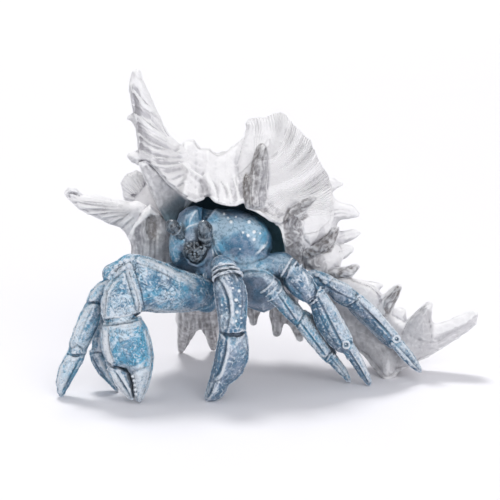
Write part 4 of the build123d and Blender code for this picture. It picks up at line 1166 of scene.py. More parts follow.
# ------------------------------------------------------------------------------------------------
# The shell is one casting.  It is meshed in four closed portions that overlap by a millimetre or two, so
# that the sides with the finest relief get the finest grid.
SHELL_PARTS = [
    ("shell_lip", (-85.0, -14.0, 78.0), (5.5, 53.0, 172.0), 0.56),
    ("shell_fan", (-0.5, -14.0, 60.0), (76.0, 53.0, 172.0), 0.575),
    ("shell_canal", (34.0, 2.0, -3.0), (146.0, 64.0, 65.5), 0.66),
]
shell_fields = []
for part_name, lo, hi, h in SHELL_PARTS:
    g = shell_field(np.array(lo) - 3.0, np.array(hi) + 3.0, h * FINE)
    g.clip(lo, hi)
    shell_fields.append((part_name, g))
back_field = shell_field((-94, -18, -3), (150, 120, 176), 0.92 * FINE)
stamp(back_field)
for _, lo, hi, _ in SHELL_PARTS:
    back_field.clip(np.array(lo) + 4.6, np.array(hi) - 4.6, inside=False)
back_field.clip((-6.0, -9.4, 82.6), (11.0, 48.4, 167.4), inside=False)
back_field.clip((38.6, 6.6, 55.0), (71.4, 48.4, 70.0), inside=False)

tall = Field((-90, -8, 104), (-22, 48, 200), 0.55 * FINE)
TALL = [(131, 74), (132.5, 70.5), (137, 68), (140.5, 70.5), (142.5, 78), (149, 92), (155, 105), (162, 120), (169, 134), (180, 144), (190, 147), (199, 152), (202, 170), (202, 184), (202, 199.5), (196, 202), (188, 199),
        (179, 193), (168, 184.5), (158, 173), (149, 163), (142, 161.5), (138, 165.5), (131, 162), (127, 156.5), (128, 153), (138, 149.5), (138, 147), (138, 136), (134.5, 126), (131, 121), (126.5, 119.5),
        (127, 116), (133, 112.5), (133, 106), (131, 97), (128.4, 91), (129, 83)]
tall.relief(TALL, spine_sheet, 4.0, 3.6, 0.8, 0, shape=lambda x, y: np.clip(1.0 - (x - 187.0) * 0.040, 0.3, 1.0))
tall.relief([(129, 84), (132, 80), (135, 98), (139, 122), (142, 140), (142, 156), (138, 158), (137, 138), (132.5, 112), (130, 96)], [(132, 85, 13.6), (140, 152, 13.4), (135, 120, 13.5)], 2.4, 1.9, 0.7, 1.8)
TALL_FLUTES = [([(130.5, 96), (138, 111), (153, 119), (168, 134)], 2.2, 1.65), ([(134, 108), (146, 122), (160, 131), (174, 143)], 1.6, 0.75),
               ([(137.6, 127), (150, 139), (162, 144), (176, 150)], 2.1, 1.72), ([(140, 138), (152, 147), (166, 151), (182, 154)], 1.5, 0.90),
               ([(141, 146), (153, 153.6), (168, 156), (186, 157)], 1.9, 1.50), ([(147, 157), (160, 162), (174, 162), (190, 160)], 1.8, 1.35),
               ([(155, 169), (168, 171), (182, 168)], 1.7, 1.20), ([(164, 178), (174, 178), (186, 173)], 1.5, 1.05), ([(174, 187), (181, 184), (191, 178)], 1.4, 1.05), ([(186, 197), (189, 190), (194, 183)], 1.3, 0.90),
               ([(134, 84), (140, 97), (150, 110), (160, 122)], 1.4, 0.60), ([(133, 74), (138, 78), (141, 79)], 0.7, 0.60), ([(129, 92), (134, 95), (139, 103)], 0.9, 0.75),
               ([(136, 114), (150, 127), (166, 139)], 1.5, -1.05), ([(139, 133), (150, 143), (166, 148), (182, 152)], 1.3, -0.90), ([(143, 150), (158, 157), (178, 158.6)], 1.3, -0.90), ([(152, 164), (166, 166.6), (182, 164)], 1.2, -0.75),
               ([(134, 92), (146, 106), (160, 118)], 1.6, -0.75)]
# Painted shade on the tall spine: its left flank and the band along its lower edge.
TALL_DIM = [([(128, 86), (133, 84), (140, 112), (146, 130), (150, 146), (152, 163), (140, 164), (135, 140), (130, 112)], 0.40), ([(140, 152), (152, 160), (166, 178), (186, 196), (186, 201), (166, 186), (150, 168), (138, 162)], 0.32)]
stamp(tall)

side_f = Field((-118, -12, 84), (-52, 44, 132), 0.55 * FINE)
SIDE = [(65.4, 195.5), (66.5, 190.5), (69.5, 188), (73, 187.3), (77.5, 189), (80.5, 192.5), (89, 192.5), (98, 194), (113, 198.7), (127, 201.5), (138, 201), (147, 206), (148, 213), (143, 220),
        (138, 230), (132, 244), (129, 240), (127, 236), (124, 231.5), (119.5, 227.5), (110, 224.6), (100.5, 219.7), (89, 214.8), (79.5, 210), (71, 202)]
side_f.relief(SIDE, [(68, 194, 8), (100, 207, 12), (126, 214, 17), (147, 210, 27), (132, 240, 26), (90, 200, 11), (139, 220, 24)], 4.4, 7, 1.0, 0)
side_f.chain([P(66.5, 193, 4.5, 1.6), P(70, 189.5, 3.5, 1.7), P(75, 190, 3.8, 1.5), P(79, 193.5, 5.0, 1.2)], 1.0)
SIDE_FLUTES = [([(69, 197), (85, 200.5), (100, 202), (118, 204)], 1.0, 0.75), ([(76, 203), (92, 205), (106, 206), (122, 207)], 1.0, 0.85), ([(83, 211), (97, 210.5), (110, 210), (124, 210)], 1.1, 0.9),
               ([(93, 216), (104, 214.5), (115, 213), (126, 213)], 1.1, 0.9), ([(103, 220.5), (112, 218.5), (122, 216), (130, 215)], 1.1, 0.8), ([(113, 225), (120, 221), (128, 217)], 1.0, 0.7),
               ([(122, 229), (128, 224), (134, 219)], 1.0, 0.6), ([(82, 194.5), (96, 197), (112, 200.5)], 0.8, 0.4), ([(68, 193.5), (73, 193), (79, 195)], 0.6, 0.5),
               ([(72, 199.5), (90, 203), (106, 204), (120, 205.5)], 0.7, -0.45), ([(80, 207), (95, 207.5), (110, 208)], 0.7, -0.45), ([(88, 213), (102, 212.5), (116, 211.5)], 0.7, -0.45)]
# Painted shade on the side spine's lower part.
SIDE_DIM = [([(78, 205), (96, 208), (122, 210), (140, 208), (138, 226), (130, 240), (120, 228), (98, 219), (84, 212)], 0.34)]
stamp(side_f)

rear = Field((-90, 28, 108), (-54, 62, 142), 0.6 * FINE)
rear.relief([(123, 178), (128, 173), (137, 170), (144, 174), (146.5, 184), (150, 196), (160, 206), (158, 214), (146, 212), (136, 204), (128, 202), (123.5, 199.5), (122.5, 192), (120.7, 183)],
            [(132, 182, 44), (150, 205, 49), (128, 200, 47)], 4.6, 6, 1.0, 0)
rear.ellipsoid(place(134, 196.5, 40), (2.6, 3.5, 1.8), 1.0, cut=True)
stamp(rear)

# ================================================================================================
# CRAB
# ================================================================================================
CRAB = []


def grow(poly, joints, by=5.0, reach=11.0):
    """Lets an outline run on past the joints that are named."""
    poly = np.asarray(poly, float).copy()
    mid = poly.mean(0)
    for j in joints:
        j = np.asarray(j, float)
        way = (j - mid) / np.linalg.norm(j - mid)
        w = np.exp(-((poly - j) ** 2).sum(1) / reach ** 2)
        poly += way * (by * w)[:, None]
    return poly


def crab_part(name, node, lo, hi, h=0.5):
    pts = np.array([place(x, y, Y) for x in (lo[0], hi[0]) for y in (lo[1], hi[1]) for Y in (lo[2], hi[2])])
    a, b = pts.min(0) - 2.0, pts.max(0) + 2.0
    a[1], b[1] = lo[2] - 2.0, hi[2] + 2.0
    f = Field(a, b, h * FINE)
    CRAB.append((name, node, f))
    return f


def rings(f, pts, R, r, k=0.4, squash=1.0):
    """Raised rings across a limb; pts: (px, py, Y) along it."""
    c = [place(*p) for p in pts]
    axis = c[-1] - c[0]
    for p in c:
        f.ring(p, axis, R, r, k, squash)


# -- big claw: arm -------------------------------------------------------------------------------
arm = crab_part("big_claw_arm", "claw_arm", (96, 248, -46), (216, 330, 14))
arm.chain([Q(212, 290, 2, 15), Q(196, 291, -5, 17), Q(180, 290, -9, 19)], 0)
arm.relief(grow([(207, 290), (200, 280), (190, 273.5), (179.5, 270), (167, 263.5), (149, 256.5), (137, 254.5), (131, 258), (133, 270), (138, 285), (142, 300), (145, 311), (157, 313), (176, 313), (192, 311), (207, 306)], [(140, 288), (206, 298)]),
           [(205, 292, -5), (140, 262, -20), (145, 306, -20), (180, 270, -10)], 11, 12, 1.2, 3)
arm.relief([(131, 262), (128, 258), (122, 261), (114, 268), (108, 276), (110, 282), (120, 284), (130, 276)], [(110, 276, -20), (130, 262, -22), (125, 275, -23)], 6.5, 6, 1.0, 1.5)
for px, py, Y, r in ((113, 272.5, -25.4, 1.7), (116.4, 267, -26.2, 1.5), (121, 262.6, -26.6, 1.3), (126, 260.4, -27.0, 1.5), (132.4, 259, -26.6, 1.8), (110.4, 277.6, -24.6, 1.6), (129.6, 265.6, -28.4, 1.6), (124.6, 267.6, -28, 1.2), (119.6, 272.6, -28, 1.2)):
    arm.ellipsoid(place(px, py, Y), (r, r, 0.8 * r), 1.6)
arm.chain([P(133, 264, -22, 5.6), P(137, 280, -23, 6.6), P(141.2, 297, -23.5, 6.4), P(142.4, 304, -23, 4.6)], 2.6)
arm.relief(grow([(128, 272), (133, 280), (138, 292), (141, 304), (141, 313), (132, 318), (118, 321), (104, 321), (101, 314), (101, 300), (105, 288), (112, 279), (120, 272)], [(121, 321), (128, 270)]),
           [(120, 276, -25), (104, 310, -29), (139, 310, -28)], 9.5, 10, 1.2, 1.0)
# -- big claw: hand ------------------------------------------------------------------------------
hand = crab_part("big_claw_hand", "claw_hand", (94, 312, -50), (160, 408, -16))
hand.relief(grow([(102, 327), (104, 323), (116, 322.5), (130, 320), (141, 316.5), (147.5, 328), (152, 343), (154, 357), (152.4, 373), (149, 386), (143.5, 399), (140, 403.5), (136, 401), (133.2, 394),
             (130.6, 384), (128.6, 375), (125.6, 370), (117, 369.5), (110, 369), (107, 366), (103, 354), (100.4, 340)], [(121, 320)]),
            [(104, 330, -30), (141, 320, -31), (128, 350, -34), (140, 400, -36), (108, 366, -33), (152, 350, -33)], 10.5, 12.5, 1.1, 0)
for px, py in ((133, 376), (134.2, 380.5), (135.2, 385), (136, 389.5), (136.8, 394)):
    hand.ellipsoid(place(px, py, -40.5), (1.3, 1.6, 1.2), 0.6)
hand.chain([Q(122, 314, -30, 12), Q(122, 328, -31, 14)], 1.5)
# -- big claw: moving-finger casting ---------------------------------------------------------------
finger = crab_part("big_claw_finger", "claw_finger", (102, 358, -46), (140, 406, -26), 0.42)
finger.relief(grow([(107.6, 370), (112, 368.5), (121, 369), (130.6, 373), (133.4, 381), (134.2, 390), (134.4, 398), (132.4, 401), (129, 399.5), (123, 394), (116, 386), (110.5, 378)], [(118, 369)]),
              [(110, 371, -34.5), (130, 376, -35), (132, 399, -36)], 5.4, 6, 0.9, 0)
# -- front claw ----------------------------------------------------------------------------------
front_claw = crab_part("front_claw_limb", "front_claw", (200, 256, -54), (256, 408, 0))
front_claw.chain([Q(222, 266, -12, 11), Q(227, 274, -25, 13)], 0)
front_claw.relief(grow([(213, 286), (214.5, 278), (216, 268), (220, 264), (227, 262.5), (235, 268), (241, 277), (246, 286), (248, 296), (247.5, 310), (246.5, 322), (246, 331), (240, 334), (226, 334), (219, 331), (217.5, 317), (215, 301)], [(232, 334)]),
                  [(225, 268, -26), (230, 300, -32), (230, 330, -33), (214, 290, -29)], 9.5, 10, 1.1, 2)
front_claw.relief(grow([(219, 333), (226, 335.5), (240, 335), (246.6, 332), (249, 347), (248.5, 360), (243, 373), (236, 380), (230, 384), (226, 392), (222, 397), (215, 402), (207, 402.5), (204, 398), (206, 389), (209, 379), (213, 363.5), (216, 348)], [(232, 334)]),
                  [(232, 340, -33), (232, 360, -33), (208, 398, -30), (245, 350, -32)], 9.5, 10, 1.1, 0.8)
front_claw.chain([Q(231, 318, -32.5, 11), Q(232, 335, -33, 11.5), Q(232, 350, -33, 12)], 1.0)
for i, (px, py) in enumerate(((224, 268.5), (226, 272.5), (227.5, 277))):
    front_claw.ring(place(px, py, -28.0 - 1.5 * i), place(229, 296, -33) - place(223, 262, -22), 6.6 + 0.9 * i, 0.8, 0.5)
# -- left legs -----------------------------------------------------------------------------------
lout = crab_part("leg_left_outer", "left_outer_leg", (50, 250, -36), (176, 402, 20))
lout.chain([Q(168, 272, 8, 8), Q(150, 268, 3, 9), Q(130, 265, -1, 10), Q(112, 274, -8, 10)], 0, soft=3)
lout.relief(grow([(88, 297), (91, 290), (99, 282), (107.5, 278.5), (118, 276), (116, 290), (108, 302), (98, 303), (91, 302)], [(94, 302), (116, 280)]), [(90, 296, -14), (115, 280, -8), (105, 300, -11)], 6.2, 6.5, 1.0, 1.5)
lout.relief(grow([(88, 304), (93, 302), (100, 303.5), (101, 314), (98.5, 327), (92, 340), (85.5, 353), (76, 355), (69, 353), (69.5, 341), (74, 328), (80, 314)], [(94, 303), (77, 354)]),
            [(94, 306, -14), (78, 350, -18), (85, 325, -16)], 6.8, 7.5, 1.0, 0.8)
lout.relief(grow([(67, 353), (76, 356), (85.5, 355), (82, 365), (74, 378), (66.5, 391), (63, 396.5), (60, 397.5), (57, 392.5), (55.7, 381), (59, 367)], [(76, 355)]), [(76, 356, -18), (60, 396, -21), (65, 370, -20)], 5.6, 6.2, 0.9, 0.8)
lout.chain([Q(102, 292, -11, 8), Q(94, 303, -13.5, 7), Q(88, 316, -15, 8.5)], 0.8)
lout.chain([Q(81, 340, -17, 9), Q(76.5, 354.5, -18, 7.5), Q(73, 364, -18.8, 7)], 0.8)
lin = crab_part("leg_left_inner", "left_inner_leg", (86, 282, -20), (182, 396, 26))
lin.chain([Q(172, 290, 12, 8.5), Q(145, 290, 8, 9), Q(125, 292, 5, 9), Q(106, 304, 1, 9), Q(100, 318, 0, 8)], 0, soft=3)
lin.relief(grow([(96, 310), (104, 312), (106, 330), (105, 352), (99, 355), (91, 353), (92, 340), (96, 328)], [(97, 353)]), [(100, 315, 1), (97, 350, -4), (104, 330, -2)], 4.8, 5, 0.9, 1.0)
lin.relief(grow([(90, 354), (97, 350), (104.5, 355), (109.5, 366), (114, 377), (118.5, 388), (118, 392.5), (113, 389), (107, 383), (98, 373.5), (91.5, 364)], [(97, 353)]), [(97, 354, -4), (117, 390, -9.5), (104, 370, -6)], 4.4, 4.8, 0.8, 0.8)
# -- right legs ----------------------------------------------------------------------------------
r1 = crab_part("leg_right_front", "right_front_leg", (258, 278, -18), (356, 388, 20), 0.45)
r1.chain([Q(266, 285, -8, 9), Q(275, 293, -7, 10)], 0)
rings(r1, ((266.5, 285, -8.5), (270.5, 289, -8), (274.5, 293, -7.5)), 6.0, 0.7)
r1.relief(grow([(268, 297), (271, 288), (279, 287), (290, 295), (300, 305.5), (305.5, 313), (304, 321), (297, 327), (289, 321), (280, 312), (272, 304)], [(301, 320), (271, 292)]), [(275, 293, -7.5), (301, 321, -1), (285, 300, -5)], 6.0, 6.4, 1.0, 1.0)
r1.relief(grow([(306, 311), (314, 315.5), (321, 323), (327.5, 333), (332.5, 342.5), (335.5, 350), (333, 357.5), (325, 360.5), (317, 353), (309, 343.5), (302, 334.5), (296.5, 328), (298, 320)], [(301, 320), (328, 355)]), [(301, 321, -1), (328, 354, 6), (315, 335, 3)], 5.6, 6.4, 1.0, 0.7)
r1.relief(grow([(329, 352), (335.5, 352.5), (342, 362), (347, 370), (351, 378.5), (351, 383), (346.5, 381.5), (340, 375), (334, 369), (328, 363), (326.5, 358)], [(329, 356)]), [(330, 356, 6), (350, 381, 10), (340, 368, 8)], 4.0, 4.6, 0.8, 0.7)
rings(r1, ((328, 354.5, 5.5), (330.5, 357, 6)), 3.6, 0.7)
r1.chain([Q(293, 312, -3, 7.5), Q(301, 321, -1, 6.5), Q(308, 331, 1, 7)], 0.8)
r1.chain([Q(322, 346, 4.5, 6.5), Q(329, 355, 6, 5), Q(334, 361, 7, 5)], 0.8)
r2 = crab_part("leg_right_middle", "right_middle_leg", (278, 258, -26), (378, 392, 22), 0.45)
r2.chain([Q(285, 269, -6, 8), Q(296, 275, -8, 10)], 0)
rings(r2, ((286.5, 267.6, -7), (291.4, 270.6, -7.5), (296.4, 273.6, -8)), 6.1, 0.75)
r2.relief(grow([(287, 272), (292, 265), (300, 266), (307, 270), (312.5, 278), (315.5, 288), (314, 297), (308, 302), (299, 299), (290, 293), (284, 285)], [(312, 297), (290, 272)]), [(292, 273, -7.5), (310, 296, -8), (305, 275, -9)], 7.2, 7.6, 1.0, 1.2)
r2.relief(grow([(313, 298), (317, 292.5), (324, 292), (330, 299), (336, 308), (342, 318), (348.5, 329.5), (352, 338), (351, 344), (345, 349.5), (336.5, 350.5), (328.5, 344), (320.5, 334), (314, 322), (311.5, 310)], [(317, 296), (346, 346)]),
          [(317, 296, -8), (345, 345, 0), (328, 320, -4)], 6.2, 7.0, 1.0, 0.7)
r2.relief(grow([(343.5, 350), (349, 343), (354, 344), (360, 354), (365, 363), (369, 373), (372, 381), (371, 386.8), (367.5, 386), (361, 378.5), (354, 368.5), (347, 357.5)], [(347, 347)]), [(349, 347, 0.5), (370, 385, 4.7), (358, 365, 2.5)], 4.2, 4.8, 0.8, 0.7)
r2.ellipsoid(place(346.2, 345, -5.4), (2.4, 1.6, 2.4), 0.5)
r2.ring(place(346.2, 345, -6.6), (0.1, 1.0, -0.1), 1.9, 0.75, 0.4)
rings(r2, ((314, 294, -8), (317, 297, -8)), 5.4, 0.8)
r2.chain([Q(306, 287, -8.5, 9.5), Q(316, 296, -8, 7.5), Q(322, 305, -6.5, 8.5)], 0.8)
r2.chain([Q(340, 336, -1.2, 8), Q(347, 347, 0.3, 6), Q(351, 355, 1.2, 5.6)], 0.8)
r3 = crab_part("leg_right_rear", "right_rear_leg", (308, 266, -8), (428, 378, 34), 0.45)
r3.chain([Q(314, 278, 8, 8.5), Q(326, 284, 8, 9.5)], 0)
r3.relief(grow([(317, 277), (326, 274.5), (335, 278.5), (347, 283.5), (355, 290), (360, 298), (358, 305), (350, 308), (342, 306), (334, 301), (326, 291), (319, 284)], [(357, 301), (320, 279)]), [(322, 281, 8), (357, 300, 10), (340, 290, 9)], 6.4, 7.0, 1.0, 1.0)
for px, py, Y, r in ((318, 275, 2.6, 1.5), (323, 277, 2.6, 1.3), (328, 279.5, 3.0, 1.3), (325, 282, 2.2, 1.2), (331, 277.5, 3.6, 1.2)):
    r3.ellipsoid(place(px, py, Y), (1.5 * r, r, 0.7 * r), 1.4)
r3.relief(grow([(357, 298.5), (362.5, 296), (371, 303), (380, 312), (388, 322), (395, 330), (399, 336), (396, 343), (389, 347), (381, 342), (371, 332), (360, 321.5), (350, 311.5), (346, 306)], [(356, 301), (394, 341)]),
          [(357, 302, 10), (395, 340, 14), (372, 318, 12)], 6.0, 6.8, 1.0, 0.7)
r3.relief(grow([(392, 344), (399, 338.5), (406, 345), (413, 353), (418, 361), (422, 369), (422, 373), (417.5, 372.5), (410, 367.5), (403, 360.5), (396, 352.5), (391, 348)], [(395, 343)]), [(396, 343, 14), (421, 371, 18), (408, 356, 16)], 4.0, 4.6, 0.8, 0.7)
r3.ellipsoid(place(396.6, 339, 8.8), (2.2, 1.5, 2.2), 0.5)
r3.ring(place(396.6, 339, 7.7), (0.1, 1.0, -0.1), 1.8, 0.7, 0.4)
r3.ellipsoid(place(359, 299, 4.5), (2.0, 1.8, 2.6), 0.5)
r3.chain([Q(346, 295, 9.5, 9), Q(357, 302, 10, 7.5), Q(366, 311, 11, 8.5)], 0.8)
r3.chain([Q(388, 334, 13.2, 7.5), Q(395.5, 342, 14, 5.6), Q(401, 348, 14.8, 5.4)], 0.8)
# -- body ----------------------------------------------------------------------------------------
body = crab_part("crab_carapace", "crab_body", (160, 196, -26), (312, 320, 40), 0.55)
body.relief([(209, 238), (210, 226), (214, 216), (220, 211), (228, 209.5), (238, 211), (247.5, 215.5), (255, 220.5), (261, 226), (267, 232.5), (271, 239), (272, 248), (268, 255), (260, 259.5), (250, 263), (238, 264), (226, 262), (216, 254)],
            [(240, 240, 16), (215, 220, 16), (265, 240, 17)], 12, 16, 1.5, 0)
body.ellipsoid(place(240, 237.4, 13), (19.6, 18.0, 15.6), 3.0, axes=[(0.951, 0, -0.309), (0, 1, 0), (0.309, 0, 0.951)])
body.relief([(177, 233), (176, 223), (179.5, 213), (187, 207.4), (195, 205.4), (200.4, 207.6), (202, 216), (203, 232), (202, 243), (190, 246), (180, 242)], [(190, 220, 7), (200, 240, 6), (180, 235, 7)], 10.5, 10, 1.2, 2)
body.ellipsoid(place(207, 236, 12), (16, 13, 18), 4)
body.ellipsoid(place(212, 258, 8), (16, 14, 12), 4)
for a, b in ((P(212, 203, 0, 3.6), P(212, 203, 18, 4.2)), (P(208, 208.5, -1, 3.0), P(208.5, 208, 15, 3.4)), (P(205.4, 213.5, -3, 2.2), P(206.4, 213, 11, 2.6)), (P(203.6, 218.5, -5, 1.3), P(204.4, 218, 5, 1.6))):
    body.chain([a, b], 1.0, cut=True)
body.ellipsoid(place(192, 240, 1), (9.5, 9, 11), 3)
body.ellipsoid(place(178, 246, 4), (5.5, 9, 12), 2.5)
body.ellipsoid(place(214, 252, 2), (6.5, 10, 9), 2.5)
body.chain([P(200, 262, 6, 11), P(202, 285, 7, 11), P(206, 298, 8, 9)], 4, soft=4)
body.chain([P(215, 270, 6, 12), P(250, 268, 4, 9.5), P(282, 265, 1, 6.5), P(290, 268, -3, 5.4)], 4, soft=5)
body.relief([(234, 276), (248, 269), (266, 270), (280, 280), (285, 292), (278, 306), (264, 313), (246, 307), (236, 296)], [(240, 288, 0), (280, 292, -5), (262, 308, 1)], 8.5, 10, 1.2, 2.5)
body.chain([P(255, 268, 3, 7), P(278, 265.5, -1, 6.2), P(290, 268, -5, 5.6)], 2.0, soft=3)
body.chain([P(262, 290, -3, 8), P(269, 289, -7, 6.2)], 2.0)
body.chain([P(262, 270, 6, 8), P(282, 274, 6, 7), P(298, 280, 8, 6.2), P(316, 281, 9, 6.4)], 3.0, soft=2)
body.chain([P(205, 292, 2, 9), P(206, 293, 0, 9)], 2.0)
body.chain([P(220, 268, -2, 8), P(223, 269, -10, 6.6)], 2.0)
body.chain([P(180, 272, 10, 7), P(166, 273, 9, 6)], 2.0)
body.chain([P(185, 291, 14, 7), P(172, 290, 13, 5.6)], 2.0)
# rims round the mouth, folds below it
body.chain([P(184, 246, -6.0, 0.9), P(185.5, 256, -6.8, 1.0), P(190, 263, -7.2, 1.0), P(197, 266, -7.2, 1.0), P(204, 262, -6.8, 1.0), P(207.5, 253, -6.0, 0.9), P(208, 245, -5.0, 0.8)], 2.6)
for px, py, Y, r in ((197, 279, -4.5, 3.0), (205, 277, -4.0, 3.2), (194, 287, -2.5, 2.6), (201, 288, -3, 2.6), (208, 286, -3, 2.6), (212, 279, -3.5, 2.6)):
    body.ellipsoid(place(px, py, Y), (r * 0.7, r, r * 1.4), 0.7)
eye_l = crab_part("eyestalk_left", "left_eyestalk", (162, 214, -20), (192, 244, 4), 0.36)
eye_l.chain([P(183, 237, -4, 2.6), P(177, 231, -7, 2.7)], 0)
eye_l.ellipsoid(place(172.3, 226.3, -9.5), (4.3, 4.3, 4.3), 0.9)
eye_l.ring(place(176.2, 230.3, -7.6), place(172.3, 226.3, -9.5) - place(183, 237, -4), 3.1, 0.8, 0.4)
eye_r = crab_part("eyestalk_right", "right_eyestalk", (194, 214, -24), (218, 252, 2), 0.36)
eye_r.chain([P(205.5, 245, -6, 3.6), P(205.3, 237, -8.5, 3.9), P(205, 229, -11, 4.1), P(203.6, 225.5, -11.6, 3.3)], 0, soft=2)
eye_r.ring(place(205.3, 236.5, -8.6), place(205, 228, -11.3) - place(205.5, 245, -6), 3.9, 0.75, 0.3)
eye_r.ring(place(205.5, 241.5, -7.2), place(205, 228, -11.3) - place(205.5, 245, -6), 3.6, 0.6, 0.3)
mouth = crab_part("mouth_cluster", "mouthparts", (180, 238, -24), (212, 268, 2), 0.36)
mouth.ellipsoid(place(195, 251.6, -6.0), (7.6, 5.0, 6.2), 0)
for pts in ([(187, 244, -9.6, 1.2), (185.6, 248, -10.6, 1.3), (187.4, 252, -11.2, 1.2), (191, 253.6, -11.6, 0.9)], [(203, 245, -9.4, 1.2), (204.6, 249, -10.2, 1.3), (202.6, 253, -11.0, 1.2), (198.6, 254, -11.6, 0.9)],
            [(191, 243.6, -10, 1.1), (189.6, 247, -11.2, 1.0), (192, 249.6, -12, 0.9)], [(197.6, 243.6, -10, 1.1), (199.4, 247, -11.2, 1.0), (196.6, 249.6, -12, 0.9)],
            [(194.4, 243, -10.4, 0.9), (194, 247, -11.6, 1.0), (194.8, 251, -12.2, 0.8)], [(188.6, 255, -10.2, 1.1), (191.6, 258.2, -10.8, 1.0), (195, 256, -11.4, 0.8)], [(201, 256, -10.2, 1.1), (198.6, 259.2, -10.6, 1.0), (195.6, 258.4, -11.2, 0.8)],
            [(186, 250, -10, 0.9), (189.4, 250.2, -11.6, 1.0)], [(203.6, 250.6, -10, 0.9), (200, 250.8, -11.6, 1.0)], [(192.6, 260, -9.4, 0.9), (197.6, 261, -9.4, 0.9)]):
    mouth.chain([P(*q) for q in pts], 0.9)
for px, py, Y, r in ((188.4, 246.2, -11.4, 0.9), (200.8, 247.0, -11.4, 0.9), (194.6, 253.8, -12.2, 0.9), (191.0, 256.0, -11.4, 0.8), (198.0, 252.0, -12.2, 0.8), (190.6, 251.4, -12.0, 0.7)):
    mouth.ellipsoid(place(px, py, Y), (r, r, r), 0.2)

for _, _, f in CRAB:
    stamp(f)

